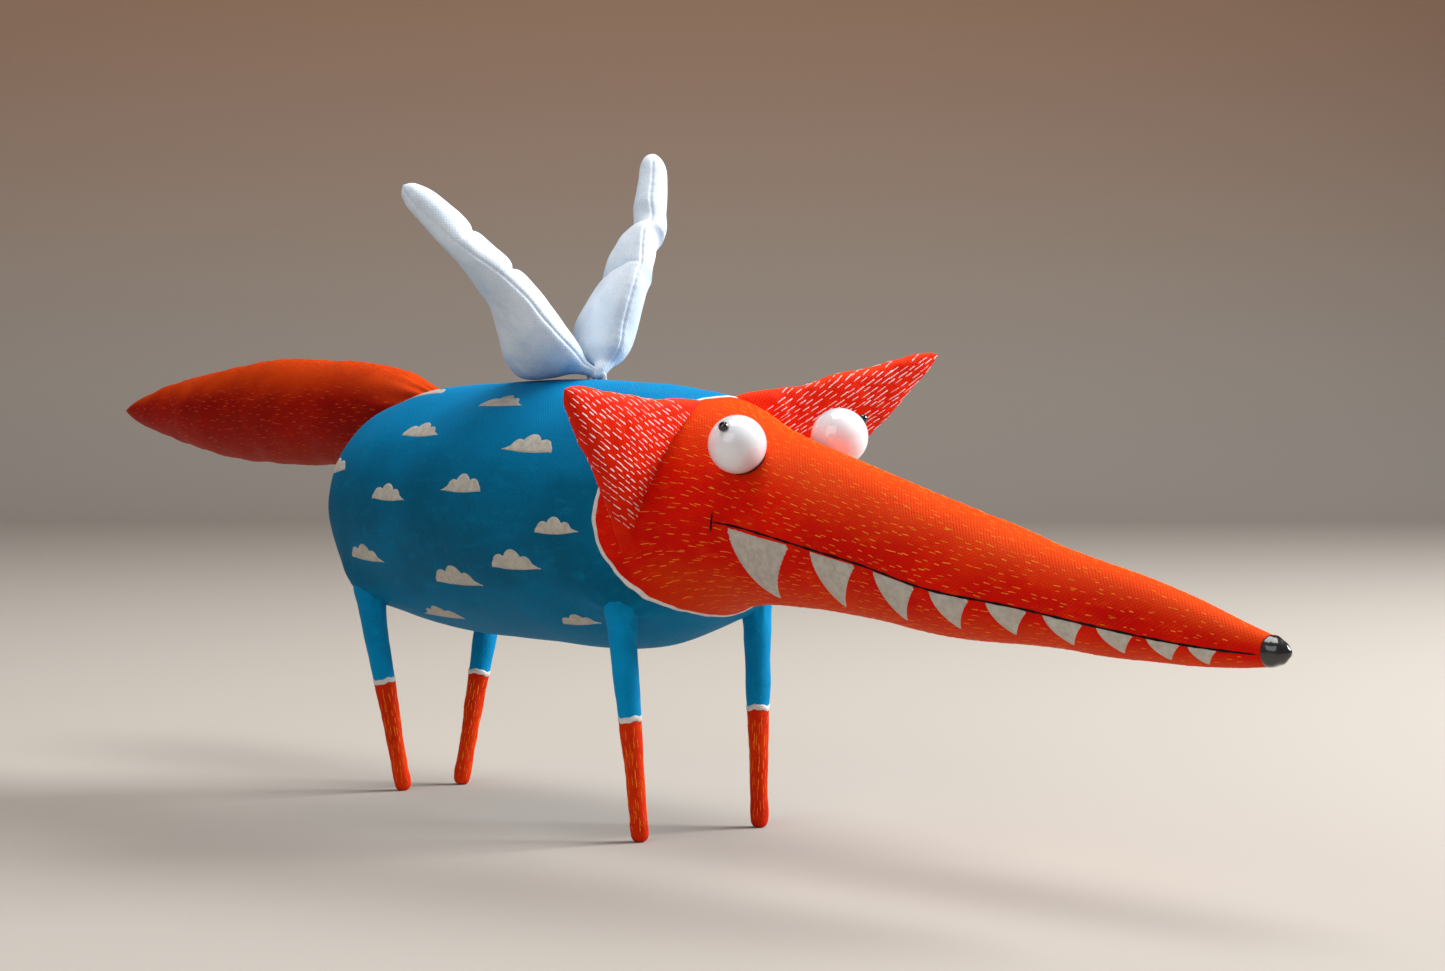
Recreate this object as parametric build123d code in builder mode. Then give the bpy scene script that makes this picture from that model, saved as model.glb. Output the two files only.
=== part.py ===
from build123d import *
import os
from math import cos, radians, sin, tan

# Stuffed and painted cloth figure of a long-snouted wolf with wings. Millimetres, +X to the nose,
# +Y to the figure's left, +Z up. The stations below are counted from a point between the front and
# rear feet. On export everything is set back by CENTER_X, so the origin is under the middle of the whole.

# Driving dimensions
CLOTH = 1.0            # thickness of the primed and painted calico
THIN_CLOTH = 0.5       # thickness of the calico on legs, ears and wings
BARREL_Z = 67.5        # height of the barrel's axis
BARREL_REAR = -70.0    # the barrel's rear pole
BARREL_MID = 10.0      # station of the widest part, where the barrel meets the neck loft
SNOUT_END = 204.6      # where the snout is cut and the nose is set on
EYE_RADIUS = 6.0
EAR_LEAN = 4.3         # degrees: the ears lean, left one up
SOCKET_GAP = 0.3       # room round a bead that can turn
FLAP_AXIS_X, FLAP_AXIS_Z = 14.0, 98.2
WIRE_RADIUS = 0.8

# Barrel profile: station along X and radius about the barrel's axis
BARREL = [(-66, 15.5), (-58, 23.2), (-45, 27.0), (-20, 28.9), (BARREL_MID, 29.5)]
# Neck, head and snout sections: station, half width, half height, height of the centre
HEAD = [
    (BARREL_MID, 29.5, 29.5, BARREL_Z),
    (22, 29.3, 29.3, 67.5),
    (32, 28.7, 28.8, 67.5),
    (39, 27.8, 28.0, 67.7),
    (45, 26.5, 26.8, 68.2),
    (50, 25.2, 25.6, 69.0),
    (55, 23.5, 24.0, 70.0),
    (60, 21.0, 22.4, 70.4),
    (66, 18.2, 20.6, 70.0),
    (72, 16.2, 18.9, 69.0),
    (78, 15.0, 17.7, 68.0),
    (87, 14.6, 16.5, 66.7),
    (97, 14.3, 15.5, 65.1),
    (111, 13.8, 14.1, 62.8),
    (125, 13.0, 12.9, 60.2),
    (139, 11.8, 11.3, 58.1),
    (152, 10.3, 9.9, 56.2),
    (164, 9.0, 8.7, 54.6),
    (176.5, 7.4, 7.3, 53.1),
    (188, 5.9, 5.9, 51.5),
    (198, 4.2, 4.1, 50.1),
    (SNOUT_END, 2.8, 2.8, 49.4),
]
# The neck seam curves back over the cheeks: seen from above it is an arc
NECK_ARC = 37.5
NECK_CENTER_X = 19.0
SEAM_WIDTH = 1.2
SEAM_PROUD = 0.3

NOSE_RADIUS, NOSE_TIP_X, NOSE_Z = 2.65, 208.9, 49.4
NOSE_SHOULDER = (206.9, 1.95)  # station and radius where the nose rounds over

EYE_X, EYE_Y, EYE_Z = 78.3, 14.0, 84.35
EYE_LEAN = 2.6         # degrees: the two eyes lean less than the ears
EYE_HOLE, THREAD_RADIUS, PUPIL_RADIUS = 0.6, 0.4, 1.05
PUPIL_DISTANCE = 6.4
KNOT_DEPTH, KNOT_RADIUS = 12.0, 1.3
EYE_AXIS = Vector(0.257, 0.785, 0.563).normalized()

EAR_TIP = Vector(68.4, 51.3, 99.0)
EAR_BASE_TOP = Vector(57.8, 9.0, 92.7)
EAR_BASE_BOTTOM = Vector(53.4, 24.0, 65.0)
EAR_HALF = 2.8
EAR_REACH = 1.15       # from the tip, the ear runs to this many times the distance of its base line

# Wing sections: distance along the span, leading edge and trailing edge (towards the rear), half
# thickness, twist in degrees about the span (trailing edge inward), bow across the wing's plane.
# The two differ as hand-made ones do.
RIGHT_WING = [
    (0.9, -1.0, 1.0, 0.8, 0, 0), (3, -1.9, 3.2, 1.7, 0, 0.8), (6, -4.2, 9.5, 3.8, 1, 1.5),
    (10.5, -6.4, 19, 6.0, 4, 1.7), (16, -7.8, 21, 6.6, 8, 1.0), (22, -8.0, 17, 6.0, 12, -0.3),
    (28, -7.4, 11.5, 5.0, 18, -1.0), (32, -6.8, 10, 4.7, 23, -1.3), (38, -5.4, 8, 4.1, 33, -1.4),
    (44, -4, 6.6, 3.9, 44, -1.5), (51, -2.5, 5.2, 3.4, 53, -1.6), (56, -1.0, 4.2, 2.7, 59, -1.4),
    (58.8, 0.8, 2.4, 0.9, 62, -1.4),
]
LEFT_WING = [
    (0.9, -1.0, 1.0, 0.8, 0, 0), (3, -1.9, 3.2, 1.7, 5, -0.8), (6, -4.0, 9.5, 3.8, 12, -1.8),
    (10.5, -5.0, 16, 5.4, 20, -3.2), (16, -6.0, 21.5, 6.0, 22, -3.9), (22, -6.6, 21, 5.6, 24, -4.2),
    (28, -6.4, 18, 4.9, 26, -4.2), (33, -6.1, 16.5, 4.7, 31, -4.1), (36.5, -5.7, 13.5, 4.2, 35, -3.8),
    (39, -5.2, 8, 4.0, 37, -3.5), (44, -4, 6.8, 3.9, 42, -2.4), (50, -2.7, 5.4, 3.4, 44, -1.2),
    (55, -1.2, 4.6, 2.7, 46, -0.2), (56.8, 0.8, 2.6, 0.9, 46, 0.2),
]
# Each wing: side, lift of its plane above level, lean of the span towards the tail, tongue place in X
WINGS = {"right": (-1, 51.3, 26.1, -1.2, RIGHT_WING), "left": (1, 63.4, 10.1, 1.2, LEFT_WING)}
WING_ROOT_ROWS = 2     # sections of the sewn root that hold no stuffing
TONGUE_RADIUS, TONGUE_HOLE, TONGUE_LENGTH = 1.0, 0.6, 1.6
BAR_RADIUS, BAR_HALF, BAR_DEPTH, BAR_BEND = 0.45, 2.9, 9.0, 0.7

TAIL_Z = 89.0
TAIL = [(-45, 4.0), (-60, 9.5), (-77, 12.0), (-95, 13.0), (-115, 13.2), (-135, 12.2), (-158, 9.3)]
TAIL += [(-175, 6.2), (-188, 3.3)]
TAIL_TIP_X = -197.0
TAIL_WIRE_FROM, TAIL_WIRE_TO = -20.0, -165.0

# Leg profile: height along the leg and radius
LEG = [(2.0, 1.8), (6.0, 1.9), (27.0, 2.5), (46.0, 3.1)]
LEG_TOP = 52.5         # rounded upper end, sewn against the barrel
LEG_SOLE = -0.9        # the rounded foot is cut flat where it passes the ground
FEET = {
    "front": (Vector(50.0, 16.5, 0), Vector(46.3, 19.0, 50.0)),
    "rear": (Vector(-50.0, 8.2, 0), Vector(-50.0, 18.5, 50.0)),
}
WIRE_FOOT, WIRE_HIP_Z, WIRE_BEND = 2.5, 44.0, 4.0
WIRE_BRIDGE_Y, WIRE_BRIDGE_Z = 10.0, 60.0

SIDES = {"right": -1, "left": 1}
CENTER_X = (NOSE_TIP_X + TAIL_TIP_X) / 2
HOLE_SPARE = 1.0       # the drill runs this far past a bead's surface
THREAD_LAP = 0.3       # the thread ends this far inside a pupil bead


def mirrored(point, side):
    """The point on the named side: tables hold the left side's points."""
    return Vector(point.X, point.Y * side, point.Z)


def leaned(point, degrees):
    """The same point on the head, which leans by this angle about the X axis."""
    return Vector(point.X, point.Y, point.Z + point.Y * tan(radians(degrees)))


def skin(inset):
    """Barrel, neck, head and snout as one solid, set in from the outer surface."""
    with BuildPart() as solid:
        with BuildSketch(Plane(origin=(0, 0, BARREL_Z), x_dir=(1, 0, 0), z_dir=(0, -1, 0))):
            with BuildLine():
                points = [(x, r - inset) for x, r in BARREL]
                rear = (BARREL_REAR + inset, 0)
                Spline(rear, *points, tangents=((0, 1), (1, 0)))
                Line(points[-1], (BARREL_MID, 0))
                Line((BARREL_MID, 0), rear)
            make_face()
        revolve(axis=Axis((0, 0, BARREL_Z), (1, 0, 0)))
        for x, half_width, half_height, z in HEAD:
            with BuildSketch(Plane(origin=(x, 0, z), x_dir=(0, 1, 0), z_dir=(1, 0, 0))):
                Ellipse(half_width - inset, half_height - inset)
        loft(ruled=True)
    return solid.part


def behind_neck(radius):
    """Everything behind the neck arc of this radius."""
    with BuildPart() as region:
        with BuildSketch(Plane.XY):
            with Locations((NECK_CENTER_X, 0)):
                Circle(radius)
            with Locations((NECK_CENTER_X - 100, 0)):
                Rectangle(200, 2 * radius)
        extrude(amount=200)
    return region.part


def eye_center(side):
    return leaned(mirrored(Vector(EYE_X, EYE_Y, EYE_Z), side), EYE_LEAN)


def ball(center, radius):
    return Pos(*center) * Sphere(radius, mode=Mode.PRIVATE)


def rod(start, end, radius):
    """A straight round rod between two points."""
    axis = end - start
    with BuildPart() as solid:
        with BuildSketch(Plane(origin=start, z_dir=axis)):
            Circle(radius)
        extrude(amount=axis.length)
    return solid.part


def eye_line(side, distance):
    """The point on an eye's thread line, at this distance outward of the bead's centre."""
    return eye_center(side) + mirrored(EYE_AXIS, side) * distance


def eye_thread(side):
    """Thread from inside the pupil bead to its knot in the head stuffing."""
    knot = eye_line(side, -KNOT_DEPTH)
    with BuildPart() as solid:
        add(rod(knot, eye_line(side, PUPIL_DISTANCE + THREAD_LAP), THREAD_RADIUS))
        add(ball(knot, KNOT_RADIUS))
    return solid.part


def ear_solid(side, inset):
    """Three-cornered ear pad, run on past its base line into the head."""
    corners = EAR_TIP, EAR_BASE_TOP, EAR_BASE_BOTTOM
    tip, top, bottom = [leaned(mirrored(p, side), EAR_LEAN) for p in corners]
    plane = Plane(origin=tip, x_dir=top - tip, z_dir=(top - tip).cross(bottom - tip))
    base = [plane.to_local_coords(p) * EAR_REACH for p in (top, bottom)]
    with BuildPart() as solid:
        with BuildSketch(plane):
            with BuildLine():
                Polyline((0, 0), *[(p.X, p.Y) for p in base], close=True)
            make_face()
            if inset:
                offset(amount=-inset, kind=Kind.INTERSECTION)
        extrude(amount=EAR_HALF - inset, both=True)
    return solid.part


def wing_root(name):
    """The middle of a wing's looped root, on the thread bar."""
    return Vector(FLAP_AXIS_X + WINGS[name][3], 0, FLAP_AXIS_Z)


def wing_pad(name, inset, sections):
    """A stuffed wing: a loft of elliptical sections across its span."""
    side, lift, lean, shift, _ = WINGS[name]
    rise = Vector(0, side * cos(radians(lift)), sin(radians(lift)))
    rear = Vector(-1, 0, 0)
    span = rise * cos(radians(lean)) + rear * sin(radians(lean))
    chord = rear * cos(radians(lean)) - rise * sin(radians(lean))
    across = span.cross(chord)
    with BuildPart() as solid:
        for pair in zip(sections, sections[1:]):
            for along, lead, trail, half, twist, bow in pair:
                center = wing_root(name) + span * along + chord * ((lead + trail) / 2) + across * bow
                turned = chord * cos(radians(twist)) - across * sin(radians(twist))
                with BuildSketch(Plane(origin=center, x_dir=turned, z_dir=span)):
                    Ellipse((trail - lead) / 2 - inset, half - inset)
            loft(ruled=True)
    return solid.part


def leg_solid(foot, hip, inset):
    """Tapering leg about the line from the foot to the hip, cut flat at the ground."""
    axis = (hip - foot).normalized()
    across = axis.cross(Vector(0, 1, 0)).normalized()
    with BuildPart() as solid:
        with BuildSketch(Plane(origin=foot, x_dir=across, z_dir=across.cross(axis))):
            with BuildLine():
                points = [(r - inset, h) for h, r in LEG]
                sole = (0, LEG_SOLE + 2 * inset)
                top = (0, LEG_TOP - inset)
                Spline(sole, points[0], tangents=((1, 0), (0, 1)))
                Polyline(*points)
                Spline(points[-1], top, tangents=((0, 1), (-1, 0)))
                Line(top, sole)
            make_face()
        revolve(axis=Axis(foot, axis))
        split(bisect_by=Plane.XY.offset(inset), keep=Keep.TOP)
    return solid.part


def leg_wire(pair):
    """One wire up a leg, across inside the barrel and down the other leg."""
    foot, hip = FEET[pair]
    axis = (hip - foot) / (hip.Z - foot.Z)
    low, bend = foot + axis * WIRE_FOOT, foot + axis * WIRE_HIP_Z
    bridge = Vector(hip.X, WIRE_BRIDGE_Y, WIRE_BRIDGE_Z)
    left = [low, bend, bridge]
    right = [mirrored(point, -1) for point in left]
    with BuildPart() as solid:
        with BuildLine() as path:
            FilletPolyline(*right, *reversed(left), radius=WIRE_BEND)
        with BuildSketch(Plane(origin=path.wire() @ 0, z_dir=path.wire() % 0)):
            Circle(WIRE_RADIUS)
        sweep()
    return solid.part


def tail_solid(inset):
    with BuildPart() as solid:
        with BuildSketch(Plane(origin=(0, 0, TAIL_Z), x_dir=(1, 0, 0), z_dir=(0, -1, 0))):
            with BuildLine():
                points = [(x, r - inset) for x, r in TAIL]
                tip = (TAIL_TIP_X + 2 * inset, 0)
                Spline(*points, tip)
                Line(tip, (points[0][0], 0))
                Line((points[0][0], 0), points[0])
            make_face()
        revolve(axis=Axis((0, 0, TAIL_Z), (1, 0, 0)))
    return solid.part


def socket_wall(side):
    """Cloth pushed in round an eye bead: a ball no larger than the skin it sits in."""
    with BuildPart() as wall:
        add(ball(eye_center(side), EYE_RADIUS + SOCKET_GAP + CLOTH))
        add(outer, mode=Mode.INTERSECT)
    return wall.part


outer, lining, proud = skin(0), skin(CLOTH), skin(-SEAM_PROUD)
rear_half, rear_and_seam = behind_neck(NECK_ARC), behind_neck(NECK_ARC + SEAM_WIDTH)
front_wire, rear_wire = leg_wire("front"), leg_wire("rear")
tail_wire_solid = rod(Vector(TAIL_WIRE_FROM, 0, TAIL_Z), Vector(TAIL_WIRE_TO, 0, TAIL_Z), WIRE_RADIUS)
bar_ends = [Vector(FLAP_AXIS_X + dx, 0, FLAP_AXIS_Z) for dx in (-BAR_HALF, BAR_HALF)]
parts = {}

# Thread staple that holds both wings: a bar along X with two legs down into the barrel
with BuildPart() as wing_root_stitches:
    with BuildLine() as staple:
        down = Vector(0, 0, -BAR_DEPTH)
        FilletPolyline(bar_ends[0] + down, bar_ends[0], bar_ends[1], bar_ends[1] + down, radius=BAR_BEND)
    with BuildSketch(Plane(origin=staple.wire() @ 0, z_dir=staple.wire() % 0)):
        Circle(BAR_RADIUS)
    sweep()
parts["wing_root_stitches"] = wing_root_stitches

threads = {name: eye_thread(side) for name, side in SIDES.items()}

with BuildPart() as body_cover:
    add(outer)
    add(lining, mode=Mode.SUBTRACT)
    add(rear_half, mode=Mode.INTERSECT)
    for hidden in (front_wire, rear_wire, tail_wire_solid, wing_root_stitches.part):
        add(hidden, mode=Mode.SUBTRACT)
parts["body_cover"] = body_cover

with BuildPart() as body_stuffing:
    add(lining)
    add(rear_half, mode=Mode.INTERSECT)
    for hidden in (front_wire, rear_wire, tail_wire_solid, wing_root_stitches.part):
        add(hidden, mode=Mode.SUBTRACT)
parts["body_stuffing"] = body_stuffing

with BuildPart() as neck_seam:
    add(proud)
    add(lining, mode=Mode.SUBTRACT)
    add(rear_and_seam, mode=Mode.INTERSECT)
    add(rear_half, mode=Mode.SUBTRACT)
parts["neck_seam"] = neck_seam

with BuildPart() as head_cover:
    add(outer)
    add(lining, mode=Mode.SUBTRACT)
    for side in SIDES.values():
        add(socket_wall(side))
    for side in SIDES.values():
        add(ball(eye_center(side), EYE_RADIUS + SOCKET_GAP), mode=Mode.SUBTRACT)
    add(rear_and_seam, mode=Mode.SUBTRACT)
    for thread in threads.values():
        add(thread, mode=Mode.SUBTRACT)
parts["head_cover"] = head_cover

with BuildPart() as head_stuffing:
    add(lining)
    add(rear_half, mode=Mode.SUBTRACT)
    for side in SIDES.values():
        add(ball(eye_center(side), EYE_RADIUS + SOCKET_GAP + CLOTH), mode=Mode.SUBTRACT)
    for thread in threads.values():
        add(thread, mode=Mode.SUBTRACT)
parts["head_stuffing"] = head_stuffing

with BuildPart() as nose_tip:
    with BuildSketch(Plane(origin=(0, 0, NOSE_Z), x_dir=(1, 0, 0), z_dir=(0, -1, 0))):
        with BuildLine():
            Spline(
                (SNOUT_END, NOSE_RADIUS), NOSE_SHOULDER, (NOSE_TIP_X, 0),
                tangents=((1, -0.1), (-0.2, -1)),
            )
            Line((NOSE_TIP_X, 0), (SNOUT_END, 0))
            Line((SNOUT_END, 0), (SNOUT_END, NOSE_RADIUS))
        make_face()
    revolve(axis=Axis((0, 0, NOSE_Z), (1, 0, 0)))
parts["nose_tip"] = nose_tip

for name, side in SIDES.items():
    parts[f"{name}_eye_thread"] = threads[name]
    hole_end = PUPIL_DISTANCE + THREAD_LAP + HOLE_SPARE / 10
    hole = rod(eye_line(side, -EYE_RADIUS - HOLE_SPARE), eye_line(side, hole_end), EYE_HOLE)
    with BuildPart() as eye_bead:
        add(ball(eye_center(side), EYE_RADIUS))
        add(hole, mode=Mode.SUBTRACT)
    parts[f"{name}_eye_bead"] = eye_bead
    with BuildPart() as pupil_bead:
        add(ball(eye_line(side, PUPIL_DISTANCE), PUPIL_RADIUS))
        add(ball(eye_center(side), EYE_RADIUS), mode=Mode.SUBTRACT)
        add(hole, mode=Mode.SUBTRACT)
    parts[f"{name}_pupil_bead"] = pupil_bead

    with BuildPart() as ear_cover:
        add(ear_solid(side, 0))
        add(ear_solid(side, THIN_CLOTH), mode=Mode.SUBTRACT)
        add(outer, mode=Mode.SUBTRACT)
        add(neck_seam.part, mode=Mode.SUBTRACT)
    parts[f"{name}_ear_cover"] = ear_cover
    with BuildPart() as ear_stuffing:
        add(ear_solid(side, THIN_CLOTH))
        add(proud, mode=Mode.SUBTRACT)
    parts[f"{name}_ear_stuffing"] = ear_stuffing

    hinge = [wing_root(name) + Vector(dx, 0, 0) for dx in (-TONGUE_LENGTH / 2, TONGUE_LENGTH / 2)]
    sections = WINGS[name][4]
    stuffed = sections[WING_ROOT_ROWS:-1]
    with BuildPart() as wing_cover:
        add(wing_pad(name, 0, sections))
        add(rod(*hinge, TONGUE_RADIUS))
        add(rod(*hinge, TONGUE_HOLE), mode=Mode.SUBTRACT)
        add(wing_pad(name, THIN_CLOTH, stuffed), mode=Mode.SUBTRACT)
    parts[f"{name}_wing_cover"] = wing_cover
    with BuildPart() as wing_stuffing:
        add(wing_pad(name, THIN_CLOTH, stuffed))
    parts[f"{name}_wing_stuffing"] = wing_stuffing

with BuildPart() as tail_cover:
    add(tail_solid(0))
    add(tail_solid(CLOTH), mode=Mode.SUBTRACT)
    add(outer, mode=Mode.SUBTRACT)
parts["tail_cover"] = tail_cover
with BuildPart() as tail_stuffing:
    add(tail_solid(CLOTH))
    add(outer, mode=Mode.SUBTRACT)
    add(tail_wire_solid, mode=Mode.SUBTRACT)
parts["tail_stuffing"] = tail_stuffing

for pair, (foot, hip) in FEET.items():
    wire = front_wire if pair == "front" else rear_wire
    for name, side in SIDES.items():
        ends = mirrored(foot, side), mirrored(hip, side)
        with BuildPart() as leg_cover:
            add(leg_solid(*ends, 0))
            add(leg_solid(*ends, THIN_CLOTH), mode=Mode.SUBTRACT)
            add(outer, mode=Mode.SUBTRACT)
            add(wire, mode=Mode.SUBTRACT)
        parts[f"{pair}_{name}_leg_cover"] = leg_cover
        with BuildPart() as leg_stuffing:
            add(leg_solid(*ends, THIN_CLOTH))
            add(outer, mode=Mode.SUBTRACT)
            add(wire, mode=Mode.SUBTRACT)
        parts[f"{pair}_{name}_leg_stuffing"] = leg_stuffing

parts["front_leg_wire"] = front_wire
parts["rear_leg_wire"] = rear_wire
parts["tail_wire"] = tail_wire_solid

os.makedirs("parts", exist_ok=True)
for name, piece in parts.items():
    solid = Pos(-CENTER_X, 0, 0) * (piece.part if isinstance(piece, BuildPart) else piece)
    solid.label = name
    export_step(solid, f"parts/{name}.step")
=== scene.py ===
import math

import bmesh
import bpy
import numpy as np
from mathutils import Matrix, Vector


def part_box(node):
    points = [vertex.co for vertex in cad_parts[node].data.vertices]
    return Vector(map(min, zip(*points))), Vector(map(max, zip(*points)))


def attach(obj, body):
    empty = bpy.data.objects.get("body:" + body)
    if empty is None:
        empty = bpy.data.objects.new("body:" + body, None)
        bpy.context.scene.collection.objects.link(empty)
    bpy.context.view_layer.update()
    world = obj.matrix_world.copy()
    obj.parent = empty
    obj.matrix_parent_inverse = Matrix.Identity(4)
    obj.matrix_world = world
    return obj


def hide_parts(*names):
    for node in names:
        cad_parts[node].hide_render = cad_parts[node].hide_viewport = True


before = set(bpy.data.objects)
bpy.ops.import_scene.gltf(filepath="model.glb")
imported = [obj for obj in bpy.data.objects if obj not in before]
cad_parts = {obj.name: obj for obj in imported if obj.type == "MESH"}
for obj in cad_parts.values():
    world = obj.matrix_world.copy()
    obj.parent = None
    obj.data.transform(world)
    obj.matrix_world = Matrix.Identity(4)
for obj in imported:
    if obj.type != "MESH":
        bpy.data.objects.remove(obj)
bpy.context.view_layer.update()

# Stuffed and painted cloth wolf with wings. Shapes are worked out in millimetres, with the stations
# counted as in the CAD model, and shifted into the frame's metres by place().
MM = 0.001
NOSE_TIP_X, TAIL_TIP_X = 208.9, -197.0
SHIFT_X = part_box("nose_tip")[1].x / MM - NOSE_TIP_X
RIGHT, LEFT = -1, 1
SIDES = {"right": RIGHT, "left": LEFT}

# Barrel, neck, head and snout: station, half width, half height, height of the centre
BARREL_Z = 67.5
BARREL = [(-70, 0), (-66, 15.5), (-58, 23.2), (-45, 27.0), (-20, 28.9), (10, 29.5)]
HEAD = [
    (22, 29.3, 29.3, 67.5), (32, 28.7, 28.8, 67.5), (39, 27.8, 28.0, 67.7), (45, 26.5, 26.8, 68.2),
    (50, 25.2, 25.6, 69.0), (55, 23.5, 24.0, 70.0), (60, 21.0, 22.4, 70.4), (66, 18.2, 20.6, 70.0),
    (72, 16.2, 18.9, 69.0), (78, 15.0, 17.7, 68.0), (87, 14.6, 16.5, 66.7), (97, 14.3, 15.5, 65.1),
    (111, 13.8, 14.1, 62.8), (125, 13.0, 12.9, 60.2), (139, 11.8, 11.3, 58.1), (152, 10.3, 9.9, 56.2),
    (164, 9.0, 8.7, 54.6), (176.5, 7.4, 7.3, 53.1), (188, 5.9, 5.9, 51.5), (198, 4.2, 4.1, 50.1),
    (204.6, 2.8, 2.8, 49.4),
]
SKIN = [(x, r, r, BARREL_Z) for x, r in BARREL] + HEAD
NECK_ARC, NECK_CENTER_X, SEAM_WIDTH = 37.5, 19.0, 1.2
SNOUT_END = 204.6
CLOTH, THIN_CLOTH = 1.0, 0.5
# The head leans, its left side up: the ears' part of it and the eyes'
EAR_LEAN, EYE_LEAN = math.tan(math.radians(4.3)), math.tan(math.radians(2.6))

EYE = (78.3, 14.0, 84.35)
EYE_AXIS = np.array([0.257, 0.785, 0.563])
EYE_RADIUS, SOCKET_RADIUS, PUPIL_RADIUS, PUPIL_DISTANCE = 6.0, 6.25, 1.05, 6.4
EAR_TIP, EAR_TOP, EAR_BOTTOM = (68.4, 51.3, 99.0), (57.8, 9.0, 92.7), (53.4, 24.0, 65.0)

TAIL_Z = 89.0
TAIL = [
    (-45, 4.0), (-60, 9.5), (-77, 12.0), (-95, 13.0), (-115, 13.2), (-135, 12.2), (-158, 9.3), (-175, 6.2),
    (-188, 3.3), (TAIL_TIP_X, 0),
]
FEET = {"front": ((50.0, 16.5, 0), (46.3, 19.0, 50.0)), "rear": ((-50.0, 8.2, 0), (-50.0, 18.5, 50.0))}
LEG = [(0, 0), (0.1, 1.1), (0.9, 1.75), (2.4, 1.95), (6, 1.9), (27, 2.5), (46, 3.1), (50, 3.2), (52.4, 2.4)]
BAND_Z, BAND_WIDTH = {"front": 25.9, "rear": 27.2}, 1.3

FLAP_AXIS_X, FLAP_AXIS_Z = 14.0, 98.2
# Wing sections: along the span, leading edge, trailing edge, half thickness, twist in degrees, bow
WING_ROOT = [(-1.15, -0.3, 0.3, 0.05, 0, 0), (-0.8, -1.2, 1.2, 0.8, 0, 0), (0.4, -1.5, 1.5, 1.15, 0, 0)]
RIGHT_WING = WING_ROOT + [
    (3, -1.9, 3.2, 1.8, 0, 0.8), (6, -4.2, 9.5, 3.8, 1, 1.5), (10.5, -6.4, 19, 6.0, 4, 1.7),
    (16, -7.8, 21, 6.6, 8, 1.0), (22, -8.0, 17, 6.0, 12, -0.3), (28, -7.4, 11.5, 5.0, 18, -1.0),
    (32, -6.8, 10, 4.7, 23, -1.3), (38, -5.4, 8, 4.1, 33, -1.4), (44, -4, 6.6, 3.9, 44, -1.5),
    (51, -2.5, 5.2, 3.4, 53, -1.6), (56, -1.0, 4.2, 2.7, 59, -1.4), (58.6, 0.6, 2.8, 1.2, 62, -1.4),
    (59.3, 1.5, 1.9, 0.05, 62, -1.4),
]
LEFT_WING = WING_ROOT + [
    (3, -1.9, 3.2, 1.8, 5, -0.8), (6, -4.0, 9.5, 3.8, 12, -1.8), (10.5, -5.0, 16, 5.4, 20, -3.2),
    (16, -6.0, 21.5, 6.0, 22, -3.9), (22, -6.6, 21, 5.6, 24, -4.2), (28, -6.4, 18, 4.9, 26, -4.2),
    (33, -6.1, 16.5, 4.7, 31, -4.1), (36.5, -5.7, 13.5, 4.2, 35, -3.8), (39, -5.2, 8, 4.0, 37, -3.5),
    (44, -4, 6.8, 3.9, 42, -2.4), (50, -2.7, 5.4, 3.4, 44, -1.2), (55, -1.2, 4.6, 2.7, 46, -0.2),
    (56.8, 0.6, 2.8, 1.2, 46, 0.2), (57.4, 1.5, 1.9, 0.05, 46, 0.2),
]
# Each wing: side, lift of its plane above level, lean of the span towards the tail, place along X,
# sections, and where along the span the stitched channels between its lobes are
WINGS = {
    "right": (RIGHT, 51.3, 26.1, -1.2, RIGHT_WING, (29, 41.5)),
    "left": (LEFT, 63.4, 10.1, 1.2, LEFT_WING, (27, 38)),
}


def place(points):
    """Millimetre points in the frame's metres."""
    return (np.asarray(points, float) + (SHIFT_X, 0, 0)) * MM


def unit(vectors):
    vectors = np.asarray(vectors, float)
    return vectors / np.linalg.norm(vectors, axis=-1, keepdims=True)


def sided(point, side, lean):
    """The point on the named side of the leaning head: tables hold the left side's points."""
    x, y, z = point
    return np.array([x, y * side, z + y * side * lean])


def flowing(points, count, start=None):
    """count points, evenly spaced, on a smooth curve through the given ones."""
    points = np.asarray(points, float)
    steps = np.linalg.norm(np.diff(points[:, :2], axis=0), axis=1)
    knots = np.concatenate([[0], np.cumsum(steps)])
    slopes = np.gradient(points, knots, axis=0)
    if start is not None:
        slopes[0] = start
    at = np.linspace(0, knots[-1], count)
    i = np.clip(np.searchsorted(knots, at, side="right") - 1, 0, len(knots) - 2)
    width = (knots[i + 1] - knots[i])[:, None]
    f = (at - knots[i])[:, None] / width
    return (
        (1 + 2 * f) * (1 - f) ** 2 * points[i] + f * (1 - f) ** 2 * width * slopes[i]
        + f**2 * (3 - 2 * f) * points[i + 1] + f**2 * (f - 1) * width * slopes[i + 1]
    )


def waves(seed, length, count=14):
    """Random smooth waves of about this length in millimetres: directions and phases."""
    rng = np.random.default_rng(seed)
    directions = unit(rng.normal(size=(count, 3))) * (2 * math.pi / length)
    return directions * rng.uniform(0.6, 1.5, (count, 1)), rng.uniform(0, 2 * math.pi, count)


def lumps(points, seed, length):
    """Smooth noise between about -1 and 1, such as stuffing makes under cloth."""
    directions, phases = waves(seed, length)
    return np.sin(points @ directions.T + phases).sum(-1) / 4


# ---- meshes

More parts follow.
